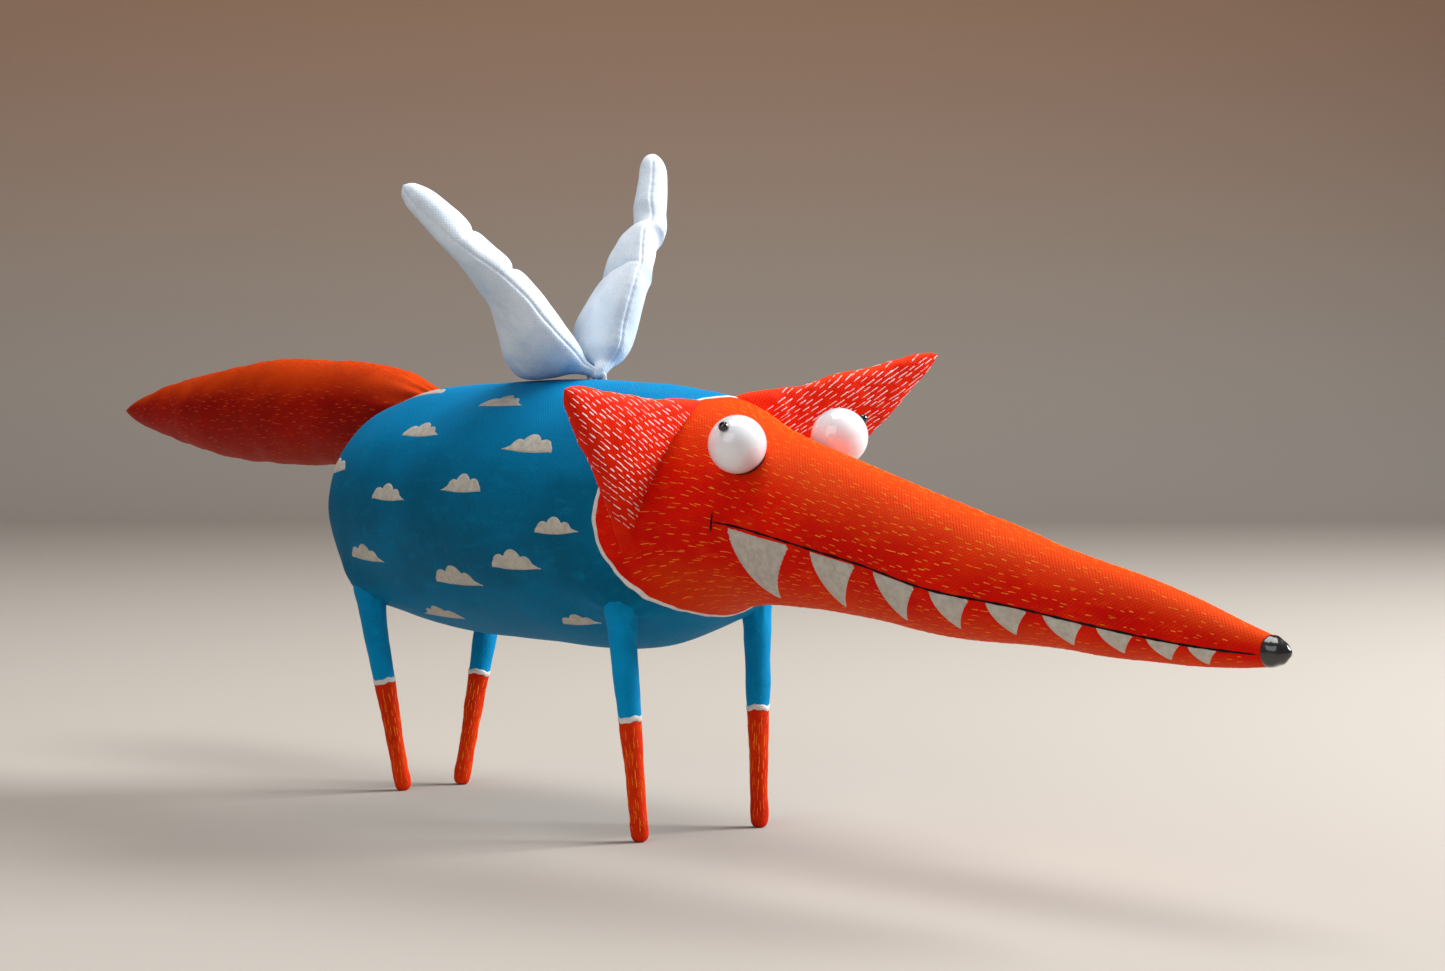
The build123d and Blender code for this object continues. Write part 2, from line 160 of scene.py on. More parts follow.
def finish_piece(name, points, faces, uvs, material, body):
    """A smooth-shaded mesh piece that rides on a body. uvs are one pair for each corner of each face."""
    mesh = bpy.data.meshes.new(name)
    mesh.from_pydata(place(points).tolist(), [], faces)
    mesh.materials.append(material)
    if uvs is not None:
        layer = mesh.uv_layers.new(name="cloth")
        layer.data.foreach_set("uv", (np.asarray(uvs, float) * MM).ravel())
    work = bmesh.new()
    work.from_mesh(mesh)
    bmesh.ops.remove_doubles(work, verts=work.verts, dist=1e-7)
    bmesh.ops.recalc_face_normals(work, faces=work.faces)
    work.to_mesh(mesh)
    work.free()
    mesh.shade_smooth()
    piece = bpy.data.objects.new(name, mesh)
    bpy.context.scene.collection.objects.link(piece)
    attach(piece, body)
    return piece


def tube_faces(rows, columns, joined):
    """Quads of a grid whose columns close on themselves, and its rows too if joined.

    Also the cell of each corner of each quad.
    """
    last = rows if joined else rows - 1
    i, j = np.meshgrid(np.arange(last), np.arange(columns), indexing="ij")
    corners = [(i, j), (i, j + 1), (i + 1, j + 1), (i + 1, j)]
    faces = np.stack([(a % rows) * columns + b % columns for a, b in corners], -1).reshape(-1, 4)
    cells = np.stack([np.stack([a % rows, b], -1) for a, b in corners], -2).reshape(-1, 2)
    return faces, cells


def tube(name, grid, uv_grid, material, body, joined=False):
    """A closed skin from rows of rings. uv_grid has one more column than grid, where the seam runs."""
    rows, columns = grid.shape[:2]
    faces, cells = tube_faces(rows, columns, joined)
    uvs = uv_grid[cells[:, 0], cells[:, 1]]
    points = grid.reshape(-1, 3)
    if joined:
        return finish_piece(name, points, faces.tolist(), uvs, material, body)
    ends = np.array([grid[0].mean(0), grid[-1].mean(0)])
    first, last = len(points), len(points) + 1
    fans = [(first, (j + 1) % columns, j) for j in range(columns)]
    base = (rows - 1) * columns
    fans += [(last, base + j, base + (j + 1) % columns) for j in range(columns)]
    fan_uvs = []
    for row in (0, -1):
        middle = uv_grid[row].mean(0)
        for j in range(columns):
            fan_uvs += [middle, uv_grid[row, j + 1], uv_grid[row, j]]
    uvs = np.concatenate([uvs, np.array(fan_uvs)])
    return finish_piece(
        name, np.concatenate([points, ends]), faces.tolist() + fans, uvs, material, body
    )


def stuffed(name, grid, along, material, body, node):
    """A soft piece that stands for a node of the CAD model: rings of points, each row at its station."""
    piece = tube(name, grid, ring_uvs(grid, along), material, body)
    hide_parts(node)
    return piece


def ring_uvs(grid, along):
    """Cloth coordinates in millimetres: along each row's station, across by the length of the ring."""
    closed = np.concatenate([grid, grid[:, :1]], 1)
    across = np.cumsum(np.linalg.norm(np.diff(closed, axis=1), axis=2), axis=1)
    across = np.concatenate([np.zeros((len(grid), 1)), across], 1)
    across -= across[:, -1:] / 2
    return np.stack([np.repeat(np.asarray(along)[:, None], closed.shape[1], 1), across], -1)


def strokes(name, surface, centers, halves, widths, lift, material, body):
    """Brush strokes of thick paint: long diamonds that lie on a surface, pointed at both ends.

    surface(p, q, lift) gives points, and centers, halves and widths are pairs in p and q.
    """
    stations = [(-1, 0, -0.3), (1, 0, -0.3)]
    for s in (-0.6, 0.55):
        stations += [(s, -1, -0.4), (s, 0, 1), (s, 1, -0.4), (s, 0, -2)]
    s, w, h = np.array(stations).T
    centers, halves, widths = (np.asarray(a, float) for a in (centers, halves, widths))
    pairs = centers[:, None] + halves[:, None] * s[:, None] + widths[:, None] * w[:, None]
    points = surface(pairs[..., 0], pairs[..., 1], lift * h[None])
    ring = [(2 + k, 2 + (k + 1) % 4) for k in range(4)]
    pattern = [(0, b, a) for a, b in ring] + [(1, a + 4, b + 4) for a, b in ring]
    sides = [(a, b, b + 4, a + 4) for a, b in ring]
    faces = []
    for start in range(0, len(centers) * 10, 10):
        faces += [tuple(start + v for v in face) for face in pattern + sides]
    return finish_piece(name, points.reshape(-1, 3), faces, None, material, body)


def patches(name, surface, grids, lift, depth, material, body):
    """Areas of thick paint that lie on a surface: closed plates from grids of (p, q) pairs."""
    points, faces = [], []
    for grid in grids:
        rows, columns = grid.shape[:2]
        edge = np.minimum.outer(
            np.minimum(np.arange(rows), np.arange(rows)[::-1]),
            np.minimum(np.arange(columns), np.arange(columns)[::-1]),
        )
        height = np.where(edge > 0, lift, -0.02)
        start = sum(len(p) for p in points)
        points.append(surface(grid[..., 0], grid[..., 1], height).reshape(-1, 3))
        points.append(surface(grid[..., 0], grid[..., 1], np.full_like(height, -depth)).reshape(-1, 3))
        under = start + rows * columns
        index = np.arange(rows * columns).reshape(rows, columns)
        cells = np.stack([index[:-1, :-1], index[1:, :-1], index[1:, 1:], index[:-1, 1:]], -1).reshape(-1, 4)
        faces += (cells + start).tolist() + (cells[:, ::-1] + under).tolist()
        rim = np.concatenate([index[0], index[1:, -1], index[-1, -2::-1], index[-2:0:-1, 0]])
        for a, b in zip(rim, np.roll(rim, -1)):
            faces.append((start + a, start + b, under + b, under + a))
    faces = [tuple(int(v) for v in face) for face in faces]
    return finish_piece(name, np.concatenate(points), faces, None, material, body)


# ---- the surface of body and head

PROFILE = flowing(SKIN, 3000, start=(0, 1.15, 1.15, 0))


def section(x):
    """Half width, half height and centre height at a station."""
    return [np.interp(x, PROFILE[:, 0], PROFILE[:, k]) for k in (1, 2, 3)]


def skin_normal(x, y, z):
    step = 0.4
    near, far = section(x - step), section(x + step)
    width, height, center = section(x)
    dw, dh, dc = [(b - a) / (2 * step) for a, b in zip(near, far)]
    width, height = np.maximum(width, 0.5), np.maximum(height, 0.5)
    ny, nz = 2 * y / width**2, 2 * (z - center) / height**2
    nx = -2 * y**2 * dw / width**3 - 2 * (z - center) * dc / height**2
    nx -= 2 * (z - center) ** 2 * dh / height**3
    return unit(np.stack([nx, ny, nz], -1))


def plump(points, normals):
    """The skin pushed in and out a little, as stuffed cloth is, and drawn out to each sewn-on leg."""
    swell = 0.28 * lumps(points, 3, 46) + 0.10 * lumps(points, 4, 15)
    slim = np.clip((SNOUT_END - points[..., 0]) / 60, 0.25, 1)
    swell = swell * slim
    for _, hip in FEET.values():
        for side in SIDES.values():
            away = points - (hip[0], hip[1] * side, hip[2])
            distance = np.linalg.norm(away, axis=-1)
            around = np.arctan2(away[..., 0], away[..., 1] * side)
            pucker = 0.16 * np.cos(11 * around + side) * np.exp(-((distance - 5.0) / 2.2) ** 2)
            swell += 2.4 * np.exp(-((distance / 6.8) ** 2)) + pucker
    return points + normals * swell[..., None]


def skin_points(x, angle, lift=0.0, inset=0.0):
    """Points on the skin. The angle is in radians from the top, towards the figure's right side."""
    width, height, center = section(x)
    y, z = -width * np.sin(angle), center + height * np.cos(angle)
    points = np.stack([x + 0 * y, y, z], -1)
    normals = skin_normal(points[..., 0], y, z)
    return plump(points, normals) + normals * np.asarray(lift - inset)[..., None]


def neck_line(angle, radius):
    """Station of the neck arc of this radius at each angle round the neck."""
    x = np.full_like(angle, 45.0)
    for _ in range(12):
        x = NECK_CENTER_X + np.sqrt(radius**2 - (section(x)[0] * np.sin(angle)) ** 2)
    return x


def press_sockets(points, radius):
    """Pushes the points out of both eye beads' places."""
    for side in SIDES.values():
        away = points - sided(EYE, side, EYE_LEAN)
        distance = np.linalg.norm(away, axis=-1, keepdims=True)
        push = away * (radius / np.maximum(distance, 1e-6) - 1)
        points = np.where(distance < radius, points + push, points)
    return points


def rear_stations(end, count, inset):
    """Rows of stations from the rear pole to the neck line, closer together at the pole."""
    start = BARREL[0][0] + 0.06 + inset
    spread = np.linspace(0, 1, count) ** 1.35
    return start + spread[:, None] * (end - start)


def pole_rows(x, angle, inset):
    """Skin rows that also close smoothly at the rear pole, where an inset skin starts further in."""
    width, height, center = section(x)
    room = np.clip(1 - inset / np.maximum(width, 1e-3), 0, 1)
    y, z = -width * room * np.sin(angle), center + height * room * np.cos(angle)
    base = np.stack([x, y, z], -1)
    fade = np.clip((x - BARREL[0][0]) / 6, 0, 1)[..., None]
    normals = skin_normal(x, -width * np.sin(angle), center + height * np.cos(angle))
    return base + (plump(base, normals) - base) * fade


def body_grid(columns, rows, inset, radius):
    angle = np.linspace(-math.pi, math.pi, columns, endpoint=False)
    x = rear_stations(neck_line(angle, radius), rows, inset)
    return pole_rows(x, np.broadcast_to(angle, x.shape), inset), x


def head_stations(angle, radius, rows):
    """Rows of stations from the neck line to the snout's end."""
    start = neck_line(angle, radius)
    return start + np.linspace(0, 1, rows)[:, None] * (SNOUT_END - start)


def head_grid(columns, rows, inset, radius, socket):
    angle = np.linspace(-math.pi, math.pi, columns, endpoint=False)
    x = head_stations(angle, radius, rows)
    points = skin_points(x, np.broadcast_to(angle, x.shape), inset=np.full(x.shape, inset))
    return press_sockets(points, socket), x


def cloth_shell(name, outer, inner, x_outer, x_inner, material, joined):
    """Outer skin and lining as one closed piece."""
    grid = np.concatenate([outer, inner[::-1]])
    along = np.concatenate([x_outer.mean(1), x_inner.mean(1)[::-1]])
    uvs = ring_uvs(grid, along)
    exact = np.concatenate([x_outer, x_inner[::-1]])
    uvs[:, :-1, 0], uvs[:, -1, 0] = exact, exact[:, 0]
    return tube(name, grid, uvs, material, "root", joined)


def body_cover(material):
    columns = 220
    outer, x_outer = body_grid(columns, 180, 0, NECK_ARC + SEAM_WIDTH / 2)
    inner, x_inner = body_grid(columns, 50, CLOTH, NECK_ARC + SEAM_WIDTH / 2)
    piece = cloth_shell("body_skin", outer, inner, x_outer, x_inner, material, False)
    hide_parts("body_cover")


def head_cover(material):
    columns = 240
    outer, x_outer = head_grid(columns, 230, 0, NECK_ARC + SEAM_WIDTH / 2, SOCKET_RADIUS)
    inner, x_inner = head_grid(columns, 70, CLOTH, NECK_ARC + SEAM_WIDTH / 2, SOCKET_RADIUS + CLOTH)
    piece = cloth_shell("head_skin", outer, inner, x_outer, x_inner, material, True)
    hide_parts("head_cover")


def trunk_stuffing(material):
    """The fibre inside body and head, cut along the neck."""
    room = CLOTH + 0.15
    grid, x = body_grid(120, 60, room, NECK_ARC)
    stuffed("body_fibre", grid, x.mean(1), material, "root", "body_stuffing")
    grid, x = head_grid(120, 90, room, NECK_ARC + 0.2, SOCKET_RADIUS + room)
    stuffed("head_fibre", grid, x.mean(1), material, "root", "head_stuffing")


def neck_seam(material):
    """The painted roll of the seam between body and head, with slightly uneven edges."""
    columns = 300
    angle = np.linspace(-math.pi, math.pi, columns, endpoint=False)
    profile = [(-0.5, -0.35), (-0.43, 0.05), (-0.2, 0.14), (0.2, 0.14), (0.43, 0.05), (0.5, -0.35), (0, -0.6)]
    waver = 0.14 * np.sin(9 * angle + 1) + 0.1 * np.sin(23 * angle) + 0.06 * np.sin(41 * angle + 2)
    rows = []
    for across, lift in profile:
        spread = (0.85 * SEAM_WIDTH + 0.2 * np.sin(13 * angle + 0.5) * np.sin(5 * angle)) * across
        x = neck_line(angle, NECK_ARC + SEAM_WIDTH / 2) + spread + waver
        rows.append(skin_points(x, angle, np.full(columns, lift)))
    grid = np.array(rows)
    piece = tube(
        "neck_seam_roll", grid, ring_uvs(grid, [p[0] for p in profile]), material, "root",
        joined=True,
    )
    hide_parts("neck_seam")


# ---- paint on body and head

CLOUD_WIDTH, CLOUD_STEPS = 16.6, 60
# Clouds: station, angle in degrees from the top, size, mirrored
RIGHT_CLOUDS = [
    (-39, 22, 1, 1), (2, 37, 1, 0), (-21, 54, 0.92, 0), (22, 61, 1, 1), (3, 80, 0.9, 1), (-26, 85, 0.85, 0),
    (36, 96, 0.8, 0), (-39, 115, 0.9, 0), (21, 112, 1, 0), (-3, 122, 1.08, 0), (-22, 147, 1, 1),
    (32, 142, 0.75, 0), (-56, 71, 0.8, 1),
]
LEFT_CLOUDS = [
    (-24, -18, 0.95, 0), (22, -24, 0.9, 1), (-44, -44, 0.9, 1), (-8, -47, 1, 0), (18, -56, 0.9, 1),
    (-27, -72, 1, 0), (5, -78, 0.95, 1), (27, -90, 0.85, 0), (-50, -88, 0.85, 0), (-12, -103, 1, 1),
    (13, -112, 0.95, 0), (-37, -118, 0.9, 1), (28, -138, 0.8, 1), (-9, -138, 1, 0), (8, -168, 0.9, 1),
    (-38, 172, 0.9, 0),
]


def cloud_grid(x, angle, size, mirrored):
    """A flat-bottomed cloud of three lobes that tapers to one side, as pairs of station and angle."""
    lobes = [(-4.9, 2.8, 0.5), (-0.6, 3.1, 1.4), (3.4, 2.3, 0.7)]
    s = np.linspace(-0.5, 0.5, CLOUD_STEPS) * CLOUD_WIDTH
    top = 0.9 + 0.06 * (CLOUD_WIDTH / 2 - s)
    for center, radius, rise in lobes:
        top = np.maximum(top, rise + np.sqrt(np.clip(radius**2 - (s - center) ** 2, 0, None)))
    ends = np.sqrt(np.clip(1 - ((np.abs(s) - CLOUD_WIDTH / 2 + 1.6) / 1.6).clip(0, 1) ** 2, 0, 1))
    taper = np.clip((CLOUD_WIDTH / 2 - s) / 3.0, 0.3, 1)
    top = top * ends * taper
    bottom = -0.45 * np.cos(s / CLOUD_WIDTH * 4) * ends * taper
    across = np.linspace(0, 1, 8)[:, None]
    up = (bottom + (top - bottom) * across) * size
    station = x + (-s if mirrored else s) * size + 0 * across
    radius = section(station)[0]
    side = math.copysign(1, angle)
    return np.stack([station, math.radians(angle) - side * up / radius], -1)


def clouds(material):
    grids = [cloud_grid(*cloud) for cloud in RIGHT_CLOUDS + LEFT_CLOUDS]
    patches("clouds", skin_points, grids, 0.07, 0.25, material, "root")


# The mouth, as station and height on the side of the snout, and its teeth
MOUTH = [(72.6, 67.9), (76.9, 67.4), (99.6, 63.4), (113.8, 60.9), (129.2, 57.5), (145.1, 55.4), (158.3, 53.7)]
MOUTH += [(170.5, 52.1), (181.2, 50.7), (189.5, 49.8), (196.1, 49.3), (203.6, 48.9)]
TICK = [(72.9, 69.9), (72.6, 67.9), (72.3, 65.9)]
# Each tooth: first and last station at the mouth line, station and height of its tip
TEETH = [
    (76.2, 95.5, 84.1, 52.4), (99.6, 113.8, 103.9, 51.5), (117.2, 129.4, 121.9, 50.2),
    (132.0, 142.6, 136.5, 49.7), (145.3, 155.6, 149.7, 48.8), (158.4, 168.4, 163.4, 47.9),
    (170.6, 179.2, 174.8, 47.3), (181.3, 189.0, 185.0, 46.7), (190.0, 196.4, 192.9, 46.4),
]


def side_angle(x, z, side):
    """Angle on the skin of a point at this station and height."""
    _, height, center = section(x)
    return -side * np.arccos(np.clip((z - center) / height, -1, 1))


def mouth_height(x):
    xs, zs = zip(*MOUTH)
    return np.interp(x, xs, zs)


def line_grid(points, width, side, steps=160):
    """A painted line as pairs: its points are stations and heights, its width waves a little."""
    path = flowing(points, steps)
    x, z = path.T
    angle = side_angle(x, z, side)
    radius = section(x)[1]
    run, rise = np.gradient(x), np.gradient(angle * radius)
    length = np.hypot(run, rise)
    swing = 1 + 0.22 * np.sin(x * 0.9) + 0.12 * np.sin(x * 2.3)
    ends = np.sqrt(np.clip(np.minimum(np.arange(steps), np.arange(steps)[::-1]) / 4, 0.1, 1))
    across = np.array([-0.5, -0.2, 0.2, 0.5])[:, None] * width * swing * ends
    return np.stack([x - rise / length * across, angle + run / length * across / radius], -1)


def tooth_grid(first, last, tip_x, tip_z, side):
    """A curved fang: convex at the back, a little hollow at the front."""
    down = np.linspace(0, 1, 14)[:, None]
    across = np.linspace(0, 1, 12)
    tip_angle = side_angle(tip_x, tip_z, side)
    back_x = first + (tip_x - first) * down**1.6
    front_x = last + (tip_x - last) * down**0.85
    x_top = first + (last - first) * across
    x = back_x + (front_x - back_x) * across
    top_angle = side_angle(x_top, mouth_height(x_top) - 0.1, side)
    return np.stack([x, top_angle + (tip_angle - top_angle) * down + 0 * x], -1)


def mouth(black, cream):
    lines, fangs = [], []
    for side in SIDES.values():
        lines += [line_grid(MOUTH, 0.54, side, 260), line_grid(TICK, 0.5, side, 24)]
        fangs += [tooth_grid(*tooth, side) for tooth in TEETH]
    patches("mouth_lines", skin_points, lines, 0.09, 0.25, black, "root")
    patches("teeth", skin_points, fangs, 0.06, 0.25, cream, "root")


def in_tooth(x, z):
    """True where a point of the snout's side is on a tooth or at the mouth line."""
    hit = np.abs(z - mouth_height(x)) < 0.55
    for first, last, tip_x, tip_z in TEETH:
        share = np.clip((mouth_height(x) - z) / (mouth_height(tip_x) - tip_z), 0, 1)
        back = first + (tip_x - first) * share**1.6 - 0.9
        front = last + (tip_x - last) * share**0.85 + 0.9
        hit |= (x > back) & (x < front) & (z < mouth_height(x)) & (z > tip_z - 0.6)
    return hit & (x > 71.5)


def near_ear_base(points):
    """True under an ear, where the head isn't painted."""
    hit = np.zeros(points.shape[:-1], bool)
    for side in SIDES.values():
        tip, top, bottom = (sided(p, side, EAR_LEAN) for p in (EAR_TIP, EAR_TOP, EAR_BOTTOM))
        middle, half = (top + bottom) / 2, (bottom - top) / 2
        flat = unit(np.cross(top - tip, bottom - tip))
        along = (points - middle) @ half / (half @ half)
        hit |= (np.abs(along) < 1.05) & (np.abs((points - middle) @ flat) < 3.2) & (points[..., 1] * side > 0)
    return hit


def head_strokes(material):
    """Fine dashes in staggered rows along the head and snout."""
    rng = np.random.default_rng(11)
    pitch, gap = 3.2, 1.32
    centers = []
    for k, x in enumerate(np.arange(22, 200, pitch / 2)):
        count = int(2 * math.pi * np.mean([section(x)[0], section(x)[1]]) / (2 * gap))
        angles = (np.arange(count) + 0.5 * (k % 2)) / count * 2 * math.pi
        angles = angles + rng.normal(0, 0.16, count) * 2 * math.pi / count
        centers += [(x + rng.normal(0, 0.55), a) for a in angles]
    centers = np.array(centers)
    x, angle = centers.T
    angle = (angle + math.pi) % (2 * math.pi) - math.pi
    points = skin_points(x, angle)
    keep = x > neck_line(angle, NECK_ARC + SEAM_WIDTH) + 2.0
    keep &= (x < 201.5) & ~in_tooth(x, points[:, 2]) & ~near_ear_base(points)
    for side in SIDES.values():
        keep &= np.linalg.norm(points - sided(EYE, side, EYE_LEAN), axis=1) > SOCKET_RADIUS + 1.0
    keep &= rng.random(len(x)) < 0.93
    centers = np.stack([x, angle], -1)[keep]
    radius = section(centers[:, 0])[1]
    half = rng.uniform(0.7, 1.35, len(centers)) * np.clip((210 - centers[:, 0]) / 60, 0.55, 1)
    drift = rng.normal(0.02, 0.05, len(centers))
    width = rng.uniform(0.07, 0.15, len(centers))
    halves = np.stack([half, drift * half / radius], -1)
    widths = np.stack([0 * width, width / radius], -1)
    strokes("head_dashes", skin_points, centers, halves, widths, 0.05, material, "root")


# ---- ears

def ear_frame(side):
    tip, top, bottom = (sided(p, side, EAR_LEAN) for p in (EAR_TIP, EAR_TOP, EAR_BOTTOM))
    middle, half = (top + bottom) / 2 - tip, (bottom - top) / 2
    return tip, middle, half, unit(np.cross(middle, half)) * side


def rounded(angle, power):
    """Cosine and sine of a superellipse: flatter faces and rounder rims than an ellipse has."""
    c, s = np.cos(angle), np.sin(angle)
    return np.sign(c) * np.abs(c) ** (2 / power), np.sign(s) * np.abs(s) ** (2 / power)


def ear_points(side, share, angle, inset=0.0, lift=0.0):
    """Points of the padded triangle: share runs from the tip to the base, the angle round the rim."""
    tip, middle, half, flat = ear_frame(side)
    long = np.linalg.norm(half)
    across, through = rounded(angle, 2.3)
    waist = 1 - 0.09 * np.sin(math.pi * np.clip(share, 0, 1))
    reach = np.maximum(share * long * waist + 0.9 * (1 - np.exp(-share * 25)) - inset, 0.02) / long
    thick = 3.2 * (1 - np.exp(-share * 7)) * (1 - 0.1 * share)
    thick = np.maximum(thick - inset, 0.02)
    curl = 2.2 * np.clip(0.3 - share, 0, 1) ** 2 * 6
    points = tip + share[..., None] * middle + (across * reach)[..., None] * half
    points = points + ((through * thick) + curl)[..., None] * flat
    outward = unit(across[..., None] * half / long + 2.2 * through[..., None] * flat)
    swell = 0.25 * lumps(points, 21, 17) + 0.1 * lumps(points, 22, 6)
    return points + outward * (swell * np.clip(share * 8, 0, 1) + lift)[..., None]


def depth_in_skin(points):
    """How far below the skin of body and head a point is, about, in millimetres."""
    width, height, center = section(points[..., 0])
    width, height = np.maximum(width, 1), np.maximum(height, 1)
    size = np.hypot(points[..., 1] / width, (points[..., 2] - center) / height)
    return (1 - size) * np.minimum(width, height) - np.clip(BARREL[0][0] - points[..., 0], 0, None)


def ear(name, side, material, fibre):
    columns, rows = 96, 110
    angle = np.linspace(0, 2 * math.pi, columns, endpoint=False)
    share = np.linspace(0, 1.0, rows)[:, None] ** 1.25 * 1.14 + 0 * angle
    grid = ear_points(side, share, np.broadcast_to(angle, share.shape))
    long = np.linalg.norm(ear_frame(side)[1])
    along, node = share[:, 0] * long, f"{name}_ear_cover"
    stuffed(f"{name}_ear_pad", grid, along, material, "root", node)
    share = np.linspace(0.05, 1.0, 40)[:, None] + 0 * angle
    grid = ear_points(side, share, np.broadcast_to(angle, share.shape), inset=THIN_CLOTH + 0.3)
    along, node = share[:, 0] * long, f"{name}_ear_stuffing"
    stuffed(f"{name}_ear_fibre", grid, along, fibre, "root", node)


def ear_strokes(name, side, seed, material):
    """Pale dashes on both faces of an ear, all in the direction from base to tip."""
    rng = np.random.default_rng(seed)
    _, middle, half, _ = ear_frame(side)
    length, reach = np.linalg.norm(middle), np.linalg.norm(half)

    def on_face(share, across):
        """Angle round the section of a point this far from the middle line of the face."""
        limit = np.maximum(share, 0.01) * reach * (1 - 0.09 * np.sin(math.pi * np.clip(share, 0, 1))) + 0.9
        return np.arccos(np.clip(across / limit, -1, 1) * np.abs(np.clip(across / limit, -1, 1)) ** 0.15)

    def surface(p, q, lift):
        return ear_points(side, np.maximum(p, 0.01), q, lift=lift + 0.02)

    centers = []
    for k, across in enumerate(np.arange(-reach, reach, 1.0)):
        for along in np.arange(1.6 + 1.5 * (k % 2), length * 0.985, 3.0):
            for face in (-1, 1):
                share, place_across = (along + rng.normal(0, 0.4)) / length, across + rng.normal(0, 0.13)
                if abs(place_across) < min(share * reach * 0.96 + 0.7, reach * 0.87) and rng.random() < 0.96:
                    centers.append((share, place_across, face))
    share, across, face = np.array(centers).T
    half_length = rng.uniform(0.9, 1.6, len(share)) / length
    start, end = on_face(share - half_length, across), on_face(share + half_length, across)
    angle = face * (start + end) / 2
    step = surface(share, angle + 0.01, 0.0) - surface(share, angle - 0.01, 0.0)
    width = rng.uniform(0.08, 0.17, len(share)) / np.maximum(np.linalg.norm(step, axis=-1) / 0.02, 0.5)
    halves = np.stack([half_length, face * (end - start) / 2], -1)
    centers, widths = np.stack([share, angle], -1), np.stack([0 * width, width], -1)
    strokes(f"{name}_ear_dashes", surface, centers, halves, widths, 0.06, material, "root")


# ---- tail

TAIL_PROFILE = flowing(TAIL, 900)


def tail_points(x, angle, inset=0.0, lift=0.0):
    radius = np.interp(-x, -TAIL_PROFILE[:, 0], TAIL_PROFILE[:, 1])
    radius = np.maximum(radius - inset, 0.02)
    out = np.stack([0 * x, -np.sin(angle), np.cos(angle)], -1)
    points = np.stack([x, 0 * x, TAIL_Z + 0 * x], -1) + out * radius[..., None]
    fade = np.clip((x - TAIL_TIP_X) / 12, 0, 1)
    swell = 0.3 * lumps(points, 31, 38) + 0.12 * lumps(points, 32, 12)
    depth = np.clip(-depth_in_skin(points), 0, None)
    swell += 0.22 * np.cos(15 * angle + 2 * np.sin(3 * angle)) * np.exp(-depth / 4.5)
    return points + out * (swell * fade + lift)[..., None]


def tail_root(angle, depth):
    """Station where the tail's skin has gone this deep into the body."""
    x = np.linspace(-72, -44, 400)[:, None] + 0 * angle
    deep = depth_in_skin(tail_points(x, np.broadcast_to(angle, x.shape)))
    found = (deep > depth) & (x > BARREL[0][0] + 0.5)
    found[-1] = True
    return x[np.argmax(found, axis=0), np.arange(len(angle))]


def tail(material, fibre):
    columns, rows = 150, 170
    angle = np.linspace(-math.pi, math.pi, columns, endpoint=False)
    spread = 1 - np.linspace(1, 0, rows)[:, None] ** 1.5
    root = tail_root(angle, 0.7)
    x = root + spread * (TAIL_TIP_X + 0.02 - root)
    grid = tail_points(x, np.broadcast_to(angle, x.shape))
    stuffed("tail_skin", grid, x.mean(1), material, "root", "tail_cover")
    root = tail_root(angle, 1.5)
    x = root + spread[::2] * (TAIL_TIP_X + 3 - root)
    grid = tail_points(x, np.broadcast_to(angle, x.shape), inset=CLOTH)
    stuffed("tail_fibre", grid, x.mean(1), fibre, "root", "tail_stuffing")


def tail_strokes(material):
    rng = np.random.default_rng(33)
    centers = []
    for k, x in enumerate(np.arange(-192, -48, 1.9)):
        radius = np.interp(-x, -TAIL_PROFILE[:, 0], TAIL_PROFILE[:, 1])
        count = int(2 * math.pi * radius / 3.0)
        angles = (np.arange(count) + 0.5 * (k % 2) + rng.normal(0, 0.17, count)) / count * 2 * math.pi
        centers += [(x + rng.normal(0, 0.5), a - math.pi) for a in angles]
    centers = np.array(centers)
    outside = depth_in_skin(tail_points(*centers.T)) < -1.4
    outside |= centers[:, 0] < BARREL[0][0] - 1
    centers = centers[outside & (rng.random(len(centers)) < 0.85)]
    radius = np.interp(-centers[:, 0], -TAIL_PROFILE[:, 0], TAIL_PROFILE[:, 1])
    half, width = rng.uniform(0.8, 1.5, len(centers)), rng.uniform(0.09, 0.18, len(centers))
    halves = np.stack([half, 0.04 * rng.normal(size=len(half)) * half / radius], -1)
    widths = np.stack([0 * width, width / radius], -1)

    def surface(p, q, lift):
        return tail_points(p, q, lift=lift)

    strokes("tail_dashes", surface, centers, halves, widths, 0.05, material, "root")


# ---- legs

LEG_PROFILE = flowing(LEG, 500)


def leg_points(pair, side, height, angle, inset=0.0, lift=0.0):
    """Points of a leg: the height is along the leg, the angle round it."""
    foot, hip = (np.array(p, float) * (1, side, 1) for p in FEET[pair])
    axis = unit(hip - foot)
    across = unit(np.cross(axis, (0, 1, 0)))
    third = np.cross(axis, across)
    radius = np.maximum(np.interp(height, LEG_PROFILE[:, 0], LEG_PROFILE[:, 1]) - inset, 0.02)
    out = np.cos(angle)[..., None] * across + np.sin(angle)[..., None] * third
    points = foot + height[..., None] * axis + out * radius[..., None]
    seed = 41 + 2 * (side > 0) + 5 * (pair == "rear")
    swell = 0.08 * lumps(points, seed, 11) + 0.03 * lumps(points, seed + 1, 4)
    outside = np.clip(-depth_in_skin(points), 0, None)
    swell += 0.7 * np.exp(-outside / 1.6) * (height > 30)
    swell += 0.16 * np.cos(9 * angle + seed) * np.exp(-outside / 3.0) * (height > 30)
    points = points + out * (swell * np.clip(height / 3, 0, 1) + lift)[..., None]
    points[..., 2] = np.maximum(points[..., 2], inset * 0.5)
    return points


